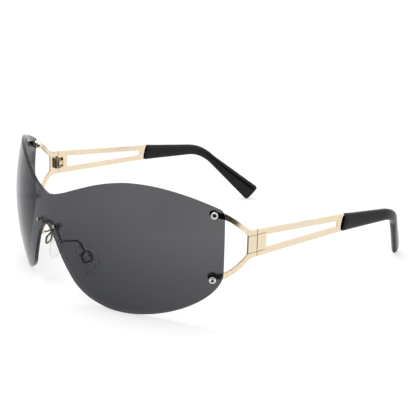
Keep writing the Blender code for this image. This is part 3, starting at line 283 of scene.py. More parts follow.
def top_edge(share):
    """Height of the lens's upper outline: up from the dip to the peak, then down in a parabola to the corner."""
    rise = LENS_RISE - LENS_DIP * (1 - curve_through(TOP_SIDE_SHARES, np.minimum(share / PEAK_ANGLE_SHARE, 1)))
    fall = np.maximum(share - PEAK_ANGLE_SHARE, 0) / (1 - PEAK_ANGLE_SHARE)
    height = np.where(share < PEAK_ANGLE_SHARE, rise, LENS_RISE - LENS_END_DROP * fall**2)
    inside = np.maximum(TOP_CORNER_RADIUS - (1 - share) * LENS_HALF_ANGLE * LENS_RADIUS, 0)
    return height - TOP_CORNER_RADIUS + np.sqrt(np.maximum(TOP_CORNER_RADIUS**2 - inside**2, 0))


def bottom_edge(share):
    """Height of the lower outline: down the notch's side to the lowest point, then a quarter superellipse up."""
    notch = NOTCH_HEIGHT * curve_through(NOTCH_SIDE_SHARES, np.minimum(share / LOW_ANGLE_SHARE, 1)) - LENS_FALL
    along = np.clip((share - LOW_ANGLE_SHARE) / (1 - LOW_ANGLE_SHARE), 0, 1)
    lift = 1 - (1 - along**BOTTOM_CURVE_POWER) ** (1 / BOTTOM_CURVE_POWER)
    return np.where(share < LOW_ANGLE_SHARE, notch, LENS_END_RISE * lift - LENS_FALL)


def lens_place(share, upward):
    """Angle and height at shares across and up; the end's lower corner leans in by a part of share^4."""
    angle = LENS_HALF_ANGLE * share * (1 - END_LEAN_SHARE * share**4 * (1 - upward))
    return angle, mix(bottom_edge(share), top_edge(share), upward)


cad_shares = (1 - np.cos(np.pi * np.arange(CAD_COLUMNS + 1) / CAD_COLUMNS)) / 2
LENS_END = ellipsoid_point(LENS_HALF_ANGLE, (LENS_RISE - LENS_END_DROP + LENS_END_RISE - LENS_FALL) / 2)
LENS_LOWEST = ellipsoid_point(*lens_place(cad_shares, 0.0))[:, 2].min()
LENS_CENTRE = np.array([0, SEAM_Y - SEAM_BEHIND_LENS - LENS_END[1], -LENS_LOWEST])
PLATE_X = LENS_END[0] + END_FLARE
UPPER_SCREW = (LENS_HALF_ANGLE - UPPER_SCREW_INSET / LENS_RADIUS, LENS_RISE - LENS_END_DROP - UPPER_SCREW_DROP)
LOWER_SCREW = (LENS_HALF_ANGLE - LOWER_SCREW_INSET / LENS_RADIUS, LENS_END_RISE - LENS_FALL - LOWER_SCREW_DROP)
NOSE_SCREW = (NOSE_SCREW_OFFSET / LENS_RADIUS, NOTCH_HEIGHT - LENS_FALL + NOSE_SCREW_ABOVE_NOTCH)
LENS_SCREWS = (("upper", UPPER_SCREW), ("lower", LOWER_SCREW))
FLANGE_DEPTH = LENS_THICKNESS + SEAT_GAP
TAB_DEPTH = FLANGE_DEPTH + BUSH_FLANGE_THICKNESS + SEAT_GAP
NUT_DEPTH = TAB_DEPTH + PLATE_THICKNESS + SEAT_GAP
BUSH_RADIUS = SCREW_SHANK_RADIUS + RUNNING_GAP + BUSH_WALL


def lens_point(angle, height, depth=0.0):
    """Point of the lens in the shared frame."""
    return ellipsoid_point(angle, height, depth) + LENS_CENTRE


def lens_normal(angle, height):
    """Way out of the lens: from the inner face to the outer one."""
    return unit(ellipsoid_point(angle, height) - ellipsoid_point(angle, height, LENS_THICKNESS))


# Making pieces
def add_object(name, data):
    """Object in the scene's own collection."""
    item = bpy.data.objects.new(name, data)
    bpy.context.scene.collection.objects.link(item)
    return item


def grid_faces(rows, columns, close_rows=False, close_columns=True):
    """Corners of every cell of a grid of points that are numbered row by row."""
    r = np.arange(rows if close_rows else rows - 1)[:, None]
    c = np.arange(columns if close_columns else columns - 1)[None, :]
    next_r, next_c = (r + 1) % rows, (c + 1) % columns
    corners = (r * columns + c, r * columns + next_c, next_r * columns + next_c, next_r * columns + c)
    return np.stack(corners, -1).reshape(-1, 4).tolist()


def make_piece(name, points, faces, coat, side=1, sharp=40):
    """Closed object from computed points; side -1 mirrors it to the wearer's right."""
    mesh = bpy.data.meshes.new(name)
    mesh.from_pydata((np.reshape(points, (-1, 3)) * (side, 1, 1)).tolist(), [], faces)
    shell = bmesh.new()
    shell.from_mesh(mesh)
    bmesh.ops.remove_doubles(shell, verts=shell.verts, dist=MERGE_DISTANCE)
    bmesh.ops.recalc_face_normals(shell, faces=shell.faces)
    shell.to_mesh(mesh)
    shell.free()
    piece = add_object(name, mesh)
    if coat:
        mesh.materials.append(coat)
    set_shading(piece, sharp)
    return piece


def set_shading(piece, sharp):
    """Smooth shading, broken at edges that turn by more than sharp degrees."""
    piece.data.shade_smooth()
    piece.data.set_sharp_from_angle(angle=math.radians(sharp))


def loft(name, rings, coat, side=1, sharp=40, closed=False):
    """Body through rings of points; an open one is closed by a flat face at each end."""
    rows, columns = rings.shape[:2]
    faces = grid_faces(rows, columns, close_rows=closed)
    if not closed:
        faces += [list(range(columns))[::-1], list(range((rows - 1) * columns, rows * columns))]
    return make_piece(name, rings, faces, coat, side, sharp)


def level_edges(piece):
    """Keeps broad flat faces flat in shading, so that only the rounded edges roll."""
    even = piece.modifiers.new("even_shading", "WEIGHTED_NORMAL")
    even.keep_sharp = True


def carve(piece, tools, sharp=40):
    """Cuts closed tool shapes out of a piece and keeps the result in its own mesh."""
    for tool in tools:
        cut = piece.modifiers.new("cut", "BOOLEAN")
        cut.operation = "DIFFERENCE"
        cut.solver = "EXACT"
        cut.object = tool
    graph = bpy.context.evaluated_depsgraph_get()
    carved = bpy.data.meshes.new_from_object(piece.evaluated_get(graph))
    carved.name = piece.name
    piece.modifiers.clear()
    piece.data = carved
    for tool in tools:
        bpy.data.objects.remove(tool)
    set_shading(piece, sharp)


def seat(piece, body, node):
    """Body that the piece rides on and the CAD node it stands for."""
    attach(piece, body)
    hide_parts(node)


def around(steps):
    """Equal angles once round."""
    return 2 * np.pi * np.arange(steps) / steps


def axis_frame(place):
    """Origin and axes of a fastener: its axis is the lens's normal, pointing out."""
    origin = lens_point(*place)
    axis = lens_normal(*place)
    across = unit(np.cross([0, 0, 1.0], axis))
    return origin, across, np.cross(axis, across), axis


def turned(name, profile, place, coat, side=1, steps=48, flats=None, sharp=40):
    """Profile of (radius, height) turned about the lens's normal at a place.

    Where flats is 1 the circle becomes a hexagon: r(a) = r cos(30) / cos((a mod 60) - 30)."""
    profile = np.array(profile, float)
    turn = around(steps)
    hexagon = math.cos(math.pi / 6) / np.cos(np.mod(turn, math.pi / 3) - math.pi / 6)
    flats = np.zeros(len(profile)) if flats is None else np.array(flats, float)
    radius = profile[:, :1] * mix(1.0, hexagon[None, :], flats[:, None])
    origin, across, rise, axis = axis_frame(place)
    rings = (origin + radius[..., None] * (np.cos(turn)[None, :, None] * across + np.sin(turn)[None, :, None] * rise)
             + profile[:, 1][:, None, None] * axis)
    return loft(name, rings, coat, side, sharp)


def drill(place, radius, span, side):
    """Round cutting tool along the lens's normal between two heights."""
    return turned("drill", ((radius, span[1]), (radius, span[0])), place, None, side, steps=40)


def bar(low, high, turn):
    """Box-shaped cutting tool between two corners, put in place by turn."""
    low, high = np.array(low), np.array(high)
    pick = np.array([[0, 0, 0], [1, 0, 0], [1, 1, 0], [0, 1, 0], [0, 0, 1], [1, 0, 1], [1, 1, 1], [0, 1, 1]])
    faces = [[0, 3, 2, 1], [4, 5, 6, 7], [0, 1, 5, 4], [1, 2, 6, 5], [2, 3, 7, 6], [3, 0, 4, 7]]
    return make_piece("bar", turn(mix(low, high, pick)), faces, None)


def read_faces(piece, word, side=1):
    """Centres or normals of a piece's faces, one row each; side -1 mirrors them to the wearer's left."""
    values = np.zeros(len(piece.data.polygons) * 3, np.float32)
    piece.data.polygons.foreach_get(word, values)
    return values.reshape(-1, 3) * (side, 1, 1)


def paint_faces(piece, coat, chosen):
    """Second finish on the chosen faces, beside those that have it already."""
    had = np.zeros(len(chosen), np.int32)
    piece.data.polygons.foreach_get("material_index", had)
    if len(piece.data.materials) < 2:
        piece.data.materials.append(coat)
    piece.data.polygons.foreach_set("material_index", (chosen | (had > 0)).astype(np.int32))


# Finishes
def shader_group(name, inputs, outputs):
    """Empty node group with its sockets."""
    group = bpy.data.node_groups.new(name, "ShaderNodeTree")
    for word, kind, value in inputs:
        socket = group.interface.new_socket(word, in_out="INPUT", socket_type=kind)
        socket.default_value = value
    for word, kind in outputs:
        group.interface.new_socket(word, in_out="OUTPUT", socket_type=kind)
    return group, group.nodes.new("NodeGroupInput"), group.nodes.new("NodeGroupOutput")


def feed(tree, node, values):
    """Gives each named input a plain value, or links it to the output given for it."""
    for word, value in values.items():
        if isinstance(value, bpy.types.NodeSocket):
            tree.links.new(value, node.inputs[word])
        else:
            node.inputs[word].default_value = value
    return node


def add_node(tree, kind, values):
    """New shader node with its inputs fed."""
    return feed(tree, tree.nodes.new("ShaderNode" + kind), values)


def add_math(tree, operation, first, second=None):
    """Result of one sum on outputs or plain numbers."""
    node = add_node(tree, "Math", {0: first} if second is None else {0: first, 1: second})
    node.operation = operation
    return node.outputs[0]


def add_range(tree, value, span, result, smooth=False):
    """Maps a span of values to a span of results, in a straight line or an S curve."""
    node = add_node(tree, "MapRange", {"From Min": span[0], "From Max": span[1], "To Min": result[0],
                                       "To Max": result[1], "Value": value})
    node.interpolation_type = "SMOOTHSTEP" if smooth else "LINEAR"
    return node.outputs["Result"]


def add_noise(tree, scale, detail, stretch=None):
    """Noise on Object coordinates, in lumps per metre; stretch draws it out into hairlines."""
    place = tree.nodes.new("ShaderNodeTexCoord").outputs["Object"]
    if stretch:
        place = add_node(tree, "Mapping", {"Vector": place, "Scale": stretch}).outputs["Vector"]
    return add_node(tree, "TexNoise", {"Vector": place, "Scale": scale, "Detail": detail}).outputs["Fac"]


SMUDGE_SCALE = 90.0
GRAIN_SCALE = 2600.0
HAIR_SCALE = 900.0
HAIR_STRETCH = (1.0, 0.06, 1.6)
HAIR_ROUGHNESS = 0.08


def handling_group():
    """Handled surface: smudges vary the roughness, hairlines and fine grain give the height."""
    group, given, result = shader_group(
        "handled_surface",
        (("Roughness", "NodeSocketFloat", 0.2), ("Smudge", "NodeSocketFloat", 0.06),
         ("Hairline", "NodeSocketFloat", 0.5)),
        (("Roughness", "NodeSocketFloat"), ("Height", "NodeSocketFloat")))
    patches = add_noise(group, SMUDGE_SCALE, 4.0)
    hairs = add_noise(group, HAIR_SCALE, 3.0, HAIR_STRETCH)
    grain = add_noise(group, GRAIN_SCALE, 2.0)
    centred = add_math(group, "SUBTRACT", patches, 0.5)
    drift = add_math(group, "MULTIPLY", centred, given.outputs["Smudge"])
    hair_drift = add_math(group, "MULTIPLY", add_math(group, "SUBTRACT", hairs, 0.5), HAIR_ROUGHNESS)
    rough = add_math(group, "ADD", add_math(group, "ADD", given.outputs["Roughness"], drift), hair_drift)
    lines = add_math(group, "MULTIPLY", hairs, given.outputs["Hairline"])
    feed(group, result, {"Roughness": rough, "Height": add_math(group, "ADD", lines, grain)})
    return group


def tone_group():
    """Two tones of one finish, mixed by soft patches that Stretch can draw out into brushing."""
    group, given, result = shader_group(
        "tone_drift",
        (("Tone", "NodeSocketColor", (0.5, 0.5, 0.5, 1)), ("Second Tone", "NodeSocketColor", (0.5, 0.5, 0.5, 1)),
         ("Scale", "NodeSocketFloat", 60.0), ("Stretch", "NodeSocketVector", (1.0, 1.0, 1.0))),
        (("Color", "NodeSocketColor"),))
    blend = group.nodes.new("ShaderNodeMix")
    blend.data_type = "RGBA"
    patches = add_noise(group, given.outputs["Scale"], 3.0, given.outputs["Stretch"])
    feed(group, blend, {"Factor": patches, "A": given.outputs["Tone"], "B": given.outputs["Second Tone"]})
    feed(group, result, {"Color": blend.outputs["Result"]})
    return group


HANDLED = handling_group()
TONES = tone_group()


def finish(name, tones, roughness, smudge, bump, metallic=0.0, scale=60.0, stretch=(1.0, 1.0, 1.0), hairline=0.5,
           **plain):
    """Finish whose tone, roughness and height vary over the surface; plain holds the uniform socket values."""
    material = bpy.data.materials.new(name)
    material.use_nodes = True
    tree = material.node_tree
    shader = tree.nodes["Principled BSDF"]
    tone = tree.nodes.new("ShaderNodeGroup")
    tone.node_tree = TONES
    feed(tree, tone, {"Tone": (*tones[0], 1), "Second Tone": (*tones[1], 1), "Scale": scale, "Stretch": stretch})
    handled = tree.nodes.new("ShaderNodeGroup")
    handled.node_tree = HANDLED
    feed(tree, handled, {"Roughness": roughness, "Smudge": smudge, "Hairline": hairline})
    relief = add_node(tree, "Bump", {"Strength": 1.0, "Distance": bump, "Height": handled.outputs["Height"]})
    feed(tree, shader, {word.replace("_", " "): value for word, value in plain.items()})
    feed(tree, shader, {"Metallic": metallic, "Base Color": tone.outputs["Color"],
                        "Roughness": handled.outputs["Roughness"], "Normal": relief.outputs["Normal"]})
    return material


RIM_FACING_SPAN = (0.60, 0.95)


def set_alpha(tree, alpha):
    """Links an output to the finish's opacity."""
    feed(tree, tree.nodes["Principled BSDF"], {"Alpha": alpha})


def clear_rim(material, middle, rim):
    """Clear body that is faint where it faces the eye and denser along its rim."""
    tree = material.node_tree
    facing = add_node(tree, "LayerWeight", {"Blend": 0.5}).outputs["Facing"]
    set_alpha(tree, add_range(tree, facing, RIM_FACING_SPAN, (middle, rim)))


def clear_from_inside(material, outside, inside):
    """Cut edge of the lens: dense from outside, faint where it is seen through the lens's own body."""
    tree = material.node_tree
    back = tree.nodes.new("ShaderNodeNewGeometry").outputs["Backfacing"]
    set_alpha(tree, add_math(tree, "ADD", add_math(tree, "MULTIPLY", back, inside - outside), outside))


# Painted shade: the lens's alpha is denser low down, standing in for the shadow seen through it, and thinner towards
# both ends, painted lighter there.
TINT_LOW_WITH_PAINTED_SHADE = 0.813
TINT_HIGH = 0.737
TINT_END_PAINTED_LIGHT = 0.082
TINT_HEIGHT = 0.050
TINT_HALF_WIDTH = 0.074


def tint_with_painted_shade(material):
    """Tint of the lens with painted shade and light: alpha falls with height, so the lower part is painted darker, and
    falls towards the two ends, painted lighter, in Object coordinates.
    """
    tree = material.node_tree
    place = tree.nodes.new("ShaderNodeTexCoord").outputs["Object"]
    parts = add_node(tree, "SeparateXYZ", {"Vector": place})
    from_middle = add_math(tree, "ABSOLUTE", parts.outputs["X"])
    upward = add_range(tree, parts.outputs["Z"], (0.0, TINT_HEIGHT), (TINT_LOW_WITH_PAINTED_SHADE, TINT_HIGH), smooth=True)
    endward = add_range(tree, from_middle, (0.0, TINT_HALF_WIDTH), (0.0, TINT_END_PAINTED_LIGHT))
    set_alpha(tree, add_math(tree, "SUBTRACT", upward, endward))


GOLD = finish("polished_pale_gold", ((0.850, 0.725, 0.546), (0.728, 0.601, 0.431)), 0.13, 0.08, 1.2e-7, metallic=1.0,
              scale=70.0, stretch=(12.0, 12.0, 0.7))
# Painted reflection: the pad wires are gold, toned dark so that they look as if they mirror dark surroundings.
WIRE_GOLD_PAINTED_DARK = finish("wire_gold", ((0.21, 0.175, 0.12), (0.16, 0.135, 0.095)), 0.20, 0.08, 2e-7, metallic=1.0)
STEEL = finish("polished_steel", ((0.70, 0.68, 0.64), (0.62, 0.60, 0.56)), 0.12, 0.08, 1.2e-7, metallic=1.0)
# Painted shade: the gold hinge block is toned dark, standing in for the shade in the recess between the knuckles.
HINGE_GOLD_PAINTED_SHADE = finish("hinge_gold", ((0.27, 0.215, 0.15), (0.20, 0.16, 0.115)), 0.28, 0.10, 3e-7, metallic=1.0)
RIVET_STEEL = finish("nose_rivet_steel", ((0.34, 0.31, 0.25), (0.26, 0.24, 0.20)), 0.35, 0.10, 3e-7, metallic=1.0)
# Painted shade: darker gold laid in the grooves and on the sheet's crotch-facing wall, standing in for the shade that
# falls there.
PAINTED_SHADE_GOLD = finish("groove_shade", ((0.46, 0.34, 0.215), (0.38, 0.275, 0.17)), 0.50, 0.10, 4e-7, metallic=1.0)
# Painted shadow: near-black steel laid inside the hex sockets, where the recess falls in shade.
SOCKET_PAINTED_SHADOW = finish("socket_shadow", ((0.05, 0.045, 0.04), (0.03, 0.028, 0.025)), 0.45, 0.10, 4e-7, metallic=1.0)
ACETATE = finish("black_acetate", ((0.0030, 0.0030, 0.0036), (0.0046, 0.0045, 0.0052)), 0.15, 0.10, 4e-7,
                 hairline=0.3, IOR=1.49, Specular_IOR_Level=0.24)
SILICONE = finish("clear_silicone", ((0.80, 0.82, 0.86), (0.70, 0.73, 0.78)), 0.26, 0.12, 2e-6, IOR=1.41)
clear_rim(SILICONE, 0.055, 0.80)
STUD = finish("clear_stud", ((0.72, 0.74, 0.77), (0.62, 0.64, 0.68)), 0.25, 0.10, 1e-6, IOR=1.5)
clear_rim(STUD, 0.07, 0.55)
NYLON = finish("clear_nylon", ((0.60, 0.60, 0.60), (0.50, 0.50, 0.50)), 0.22, 0.10, 1e-6,
               Transmission_Weight=0.7, IOR=1.5)
SMOKE = finish("smoked_lens", ((0.0028, 0.0046, 0.0150), (0.0036, 0.0056, 0.0170)), 0.03, 0.02, 0.4e-7,
               hairline=0.2, IOR=1.58, Specular_IOR_Level=0.12, Specular_Tint=(0.60, 0.70, 1.0, 1.0))
# Lens tint with painted shade low down and painted light at the ends.
tint_with_painted_shade(SMOKE)
LENS_CUT = finish("lens_cut_edge", ((0.004, 0.004, 0.005), (0.008, 0.008, 0.010)), 0.12, 0.08, 6e-7,
                  hairline=1.0, IOR=1.58, Specular_IOR_Level=0.18)
clear_from_inside(LENS_CUT, 0.97, 0.72)


# Lens
def make_lens():
    """Shell between the ellipsoid and its inner offset.

    Its outline is drawn in by the edge's radius, and a quarter round, the flat cut and another quarter
    round join the two faces."""
    share = (1 - np.cos(np.pi * np.arange(LENS_HALF_COLUMNS + 1) / LENS_HALF_COLUMNS)) / 2
    share = mix(share, np.linspace(0, 1, LENS_HALF_COLUMNS + 1), EVEN_SPACING_SHARE)
    share = np.concatenate([-share[:0:-1], share])
    upward = np.linspace(0, 1, LENS_ROWS + 1)
    angle, height = lens_place(np.abs(share)[None, :], upward[:, None])
    angle = angle * np.sign(share + 1e-12)[None, :]
    flat = np.stack([angle * LENS_RADIUS, height], -1)
    rows, columns = flat.shape[:2]
    number = np.arange(rows * columns).reshape(rows, columns)
    loop = np.concatenate([number[0, :-1], number[:-1, -1], number[-1, :0:-1], number[:0:-1, 0]])
    outline = flat.reshape(-1, 2)[loop]
    along = unit(np.roll(outline, -1, 0) - np.roll(outline, 1, 0))
    outward = np.stack([along[:, 1], -along[:, 0]], -1)

    turn = np.linspace(0, math.pi / 2, QUARTER_POINTS)
    draw_in = LENS_EDGE_ROUND * (1 - np.sin(turn))
    depth = LENS_EDGE_ROUND * (1 - np.cos(turn))
    draw_in = np.concatenate([draw_in, draw_in[::-1]])
    depth = np.concatenate([depth, LENS_THICKNESS - depth[::-1]])
    rim = outline[None] - draw_in[:, None, None] * outward[None]

    edge = flat.reshape(-1, 2).copy()
    edge[loop] = rim[0]
    edge = edge.reshape(rows, columns, 2)
    inner = mix(edge[:1], edge[-1:], upward[:, None, None])
    inner[:, 0], inner[:, -1] = edge[:, 0], edge[:, -1]

    def place(points, inwards):
        return lens_point(points[..., 0] / LENS_RADIUS, points[..., 1], np.full(points.shape[:-1], inwards))

    count = rows * columns
    face = np.array(grid_faces(rows, columns, close_columns=False))
    rings = [place(rim[k], depth[k]) for k in range(1, len(depth) - 1)]
    between = [2 * count + k * len(loop) + np.arange(len(loop)) for k in range(len(rings))]
    ring_number = [loop] + between + [loop + count]
    bands = [np.stack([low, np.roll(low, -1), np.roll(high, -1), high], -1)
             for low, high in zip(ring_number, ring_number[1:])]
    points = np.concatenate([place(inner, 0.0).reshape(-1, 3), place(inner, LENS_THICKNESS).reshape(-1, 3)] + rings)
    faces = np.concatenate([face, face[:, ::-1] + count] + bands).tolist()
    lens = make_piece("lens", points, faces, SMOKE, sharp=180)
    tools = []
    for _, side in SIDES:
        for _, spot in LENS_SCREWS:
            tools.append(drill(spot, BUSH_RADIUS + RUNNING_GAP, LENS_DRILL_SPAN, side))
        tools.append(drill(NOSE_SCREW, NOSE_SHANK_RADIUS + RUNNING_GAP, LENS_DRILL_SPAN, side))
    carve(lens, tools, sharp=180)
    mesh = lens.data
    mesh.materials.clear()
    mesh.materials.append(SMOKE)
    mesh.materials.append(LENS_CUT)
    spots = np.zeros(len(mesh.vertices) * 3, np.float32)
    mesh.vertices.foreach_get("co", spots)
    normals = unit(((spots.reshape(-1, 3) - LENS_CENTRE) @ TILT) / LENS_AXES**2) @ TILT.T
    start, total = np.zeros((2, len(mesh.polygons)), np.int32)
    mesh.polygons.foreach_get("loop_start", start)
    mesh.polygons.foreach_get("loop_total", total)
    corner = np.zeros(len(mesh.loops), np.int32)
    mesh.loops.foreach_get("vertex_index", corner)
    owner = np.repeat(np.arange(len(total)), total)
    along_face = (normals[corner] * read_faces(lens, "normal")[owner]).sum(-1)
    follows = np.abs(along_face)[:, None] > FACE_NORMAL_COSINE
    mesh.normals_split_custom_set(np.where(follows, normals[corner] * np.sign(along_face)[:, None], 0.0).tolist())
    cut_edge = np.abs(along_face[start]) < CUT_NORMAL_COSINE
    mesh.polygons.foreach_set("material_index", cut_edge.astype(np.int32))
    seat(lens, "front", "shield_lens")


# Sheet metal
def ribbon_rings(outer, inner, normal, thickness, edge=SHEET_EDGE_ROUND):
    """Rounded rectangle carried along two edge lines: a across from inner to outer, b down from the face.

    Each corner is a quarter circle, its radius held under half of the ribbon's width."""
    across = outer - inner
    width = np.linalg.norm(across, axis=-1)
    across = across / np.maximum(width, 1e-9)[:, None]
    radius = np.minimum(edge, width * WIDEST_ROUND_SHARE)[:, None]
    turn = np.linspace(0, math.pi / 2, QUARTER_POINTS)[None, :]
    s, c = 1 - np.sin(turn), 1 - np.cos(turn)
    w = width[:, None]
    a = np.concatenate([w - radius * s, w - radius * c, radius * s, radius * c], 1)
    b = np.concatenate([radius * c, thickness - radius * s, thickness - radius * c, radius * s], 1)
    return inner[:, None] + a[..., None] * across[:, None] - b[..., None] * normal[:, None]


def tab_frame(place):
    """Middle of a fork tab, the level way forward along it and the way up it."""
    normal = lens_normal(*place)
    forward = unit(np.cross([0, 0, 1.0], normal))
    forward = -forward if forward[1] > 0 else forward
    lift = np.cross(normal, forward)
    return lens_point(*place, TAB_DEPTH), forward, lift if lift[2] > 0 else -lift


def arm_edges(place, direction):
    """Two edges and the face normal of one fork arm, from the crotch to the end of its round tab.

    The middle line is a cubic Bezier curve; the sheet twists from upright to the lens's own slope."""
    centre, forward, lift = tab_frame(place)
    slope = UPPER_TAB_SLOPE if direction > 0 else LOWER_TAB_SLOPE
    ahead = unit(forward * math.cos(slope) + lift * direction * math.sin(slope))
    near = INSET_HEIGHT / 2 + CROTCH_MARGIN
    far = PLATE_HEIGHT / 2 + ARM_FLARE
    start = np.array([PLATE_X, SEAM_Y - CROTCH_FORWARD, HINGE_Z + direction * (near + far) / 2])
    finish_at = centre - ahead * TAB_RUN
    reach = np.linalg.norm(finish_at - start)
    a = start + unit(np.array([0, -1, direction * ARM_START_SLOPE_SHARE])) * reach * ARM_START_HANDLE_SHARE
    b = finish_at - ahead * reach * ARM_END_HANDLE_SHARE
    t = np.linspace(0, 1, ARM_POINTS)[:, None]
    spot = start * (1 - t) ** 3 + a * 3 * (1 - t) ** 2 * t + b * 3 * (1 - t) * t**2 + finish_at * t**3
    way = unit((a - start) * (1 - t) ** 2 + (b - a) * 2 * (1 - t) * t + (finish_at - b) * t**2)
    rise = unit(mix(np.array([0, 0, 1.0]), lift, smooth_share(t)))
    flat = np.sqrt(np.maximum(1 - (way * rise).sum(-1, keepdims=True) ** 2, 0.01))
    width = mix(ARM_WIDTH, ARM_TAB_WIDTH, smooth_share(2 * t - 1))
    half = mix((far - near) / 2, width / 2 / flat, smooth_share(2 * t))
    turn = np.radians(np.linspace(*TAB_TURN_DEGREES, TAB_POINTS))[:, None]
    tab_half = TAB_RADIUS * np.cos(turn)
    tab_half = np.where(turn < 0, np.maximum(tab_half, ARM_TAB_WIDTH / 2), tab_half)
    tab_spot = finish_at + ahead * (TAB_RUN + TAB_RADIUS * np.sin(turn))
    spot = np.vstack([spot, tab_spot])
    rise = np.vstack([rise, np.repeat(lift[None], len(turn), 0)])
    way = np.vstack([way, np.repeat(ahead[None], len(turn), 0)])
    half = np.vstack([half, tab_half])
    normal = unit(np.cross(way, rise))
    normal = np.where(normal[:, :1] > 0, normal, -normal)
    return spot + rise * half * direction, spot - rise * half * direction, normal


WALL_NORMAL_COSINE = 0.5


def paint_inner_wall_shade(piece, side, outer, inner, normal):
    """Painted shade on the sheet's wall that faces the crotch: a darker finish on faces nearer its inner edge that
    stand across it.
    """
    centres = read_faces(piece, "center", side)
    to_inner, to_outer = (np.linalg.norm(centres[:, None] - line, axis=-1) for line in (inner, outer))
    along_normal = np.abs((read_faces(piece, "normal", side) * normal[to_inner.argmin(1)]).sum(-1))
    paint_faces(piece, PAINTED_SHADE_GOLD, (to_inner.min(1) < to_outer.min(1)) & (along_normal < WALL_NORMAL_COSINE))


def paint_groove_shade(piece, side, own_frame=lambda points: points):
    """Painted shade in the two grooves across a plate: a darker finish on their walls and floor, under its outer face.
    """
    centres = own_frame(read_faces(piece, "center", side))
    across = np.abs(np.abs(centres[:, 2] - HINGE_Z) - (INSET_HEIGHT + GROOVE_WIDTH) / 2)
    under = PLATE_X - centres[:, 0]
    low, high = (GROOVE_DEPTH * share for share in GROOVE_FIND_DEPTH_SHARES)
    paint_faces(piece, PAINTED_SHADE_GOLD, (across < GROOVE_WIDTH * GROOVE_FIND_HALF_SHARE) & (under > low) & (under < high))


def groove_tools(x, y_from, y_to, turn):
    """Two bars that cut the grooves above and below the hinge's inset, across a face at x."""
    levels = (HINGE_Z + INSET_HEIGHT / 2, HINGE_Z - INSET_HEIGHT / 2 - GROOVE_WIDTH)
    return [bar((x - GROOVE_DEPTH, y_from, z), (x + CUT_BEYOND, y_to, z + GROOVE_WIDTH), turn) for z in levels]


def make_end_piece(word, side):
    """One ribbon from the upper tab round the crotch to the lower tab, with the plate fanned out from it."""
    upper_out, upper_in, upper_normal = arm_edges(UPPER_SCREW, 1)
    lower_out, lower_in, lower_normal = arm_edges(LOWER_SCREW, -1)
    near = INSET_HEIGHT / 2 + CROTCH_MARGIN
    forward = np.linspace(CROTCH_FORWARD, SEAM_GAP, RIM_POINTS + 1)[1:]
    half = PLATE_HEIGHT / 2 + ARM_FLARE * (forward / CROTCH_FORWARD) ** 3
    rim = np.stack([np.full_like(forward, PLATE_X), SEAM_Y - forward, HINGE_Z + half], -1)
    down = np.linspace(PLATE_HEIGHT / 2, -PLATE_HEIGHT / 2, SEAM_POINTS + 2)[1:-1]
    seam = np.stack([np.full_like(down, PLATE_X), np.full_like(down, SEAM_Y - SEAM_GAP), HINGE_Z + down], -1)
    plate_out = np.vstack([rim, seam, rim[::-1] * (1, 1, -1) + (0, 0, 2 * HINGE_Z)])
    inward_z = np.clip(plate_out[:, 2] - HINGE_Z, -near, near)
    crotch_y = np.full_like(inward_z, SEAM_Y - CROTCH_FORWARD)
    plate_in = np.stack([np.full_like(inward_z, PLATE_X), crotch_y, HINGE_Z + inward_z], -1)
    outer = np.vstack([upper_out[::-1], plate_out, lower_out])
    inner = np.vstack([upper_in[::-1], plate_in, lower_in])
    normal = np.vstack([upper_normal[::-1], np.tile([1.0, 0, 0], (len(plate_in), 1)), lower_normal])
    piece = loft("fork_" + word, ribbon_rings(outer, inner, normal, PLATE_THICKNESS), GOLD, side)
    # Darker gold painted on the crotch-facing wall as shade.
    paint_inner_wall_shade(piece, side, outer, inner, normal)
    tools = [drill(place, SCREW_SHANK_RADIUS + RUNNING_GAP, TAB_DRILL_SPAN, side) for _, place in LENS_SCREWS]
    tools += groove_tools(PLATE_X, SEAM_Y - CROTCH_FORWARD - CUT_BEYOND, SEAM_Y + CUT_BEYOND,
                          lambda points: points * (side, 1, 1))
    carve(piece, tools)
    # Darker gold painted in the grooves as shade.
    paint_groove_shade(piece, side)
    level_edges(piece)
    seat(piece, "front", "end_piece_" + word)


TEMPLE_OUTER_X = PLATE_X - AXIS_X
TEMPLE_BOTTOM = HINGE_Z - PLATE_HEIGHT / 2
WINDOW_REAR = WINDOW_FRONT + WINDOW_LENGTH
TEMPLE_LENGTH = WINDOW_REAR + TEMPLE_END_LENGTH


def temple_top(y):
    """Height of the temple's upper edge, which falls in a straight line towards the tip."""
    return HINGE_Z + PLATE_HEIGHT / 2 - TEMPLE_TAPER * y / TEMPLE_LENGTH


TEMPLE_REAR_MIDDLE = (TEMPLE_BOTTOM + temple_top(TEMPLE_LENGTH)) / 2
TEMPLE_REAR_HALF = (temple_top(TEMPLE_LENGTH) - TEMPLE_BOTTOM) / 2


def temple_rear(z):
    """Y of the leaning seam between temple and tip."""
    return TEMPLE_LENGTH + TIP_SEAM_LEAN * (z - TEMPLE_REAR_MIDDLE) / TEMPLE_REAR_HALF


TOE_COS, TOE_SIN = math.cos(TEMPLE_TOE_IN), math.sin(TEMPLE_TOE_IN)
TOE_TURN = np.array([[TOE_COS, -TOE_SIN, 0], [TOE_SIN, TOE_COS, 0], [0, 0, 1]])


def toe_in(points):
    """Turns points of the temple's own frame about the hinge axis and moves them to it."""
    return points @ TOE_TURN.T + (AXIS_X, SEAM_Y, 0)


def toe_out(points):
    """Turns placed points back, so that the temple's outer face lies at the plate's X again."""
    return (points - (AXIS_X, SEAM_Y, 0)) @ TOE_TURN + (AXIS_X, 0, 0)


def around_corners(corners, steps):
    """Closed line with straight sides through corners, each side cut into equal steps."""
    share = (np.arange(steps) / steps)[None, :, None]
    return mix(corners[:, None], np.roll(corners, -1, 0)[:, None], share).reshape(-1, 3)


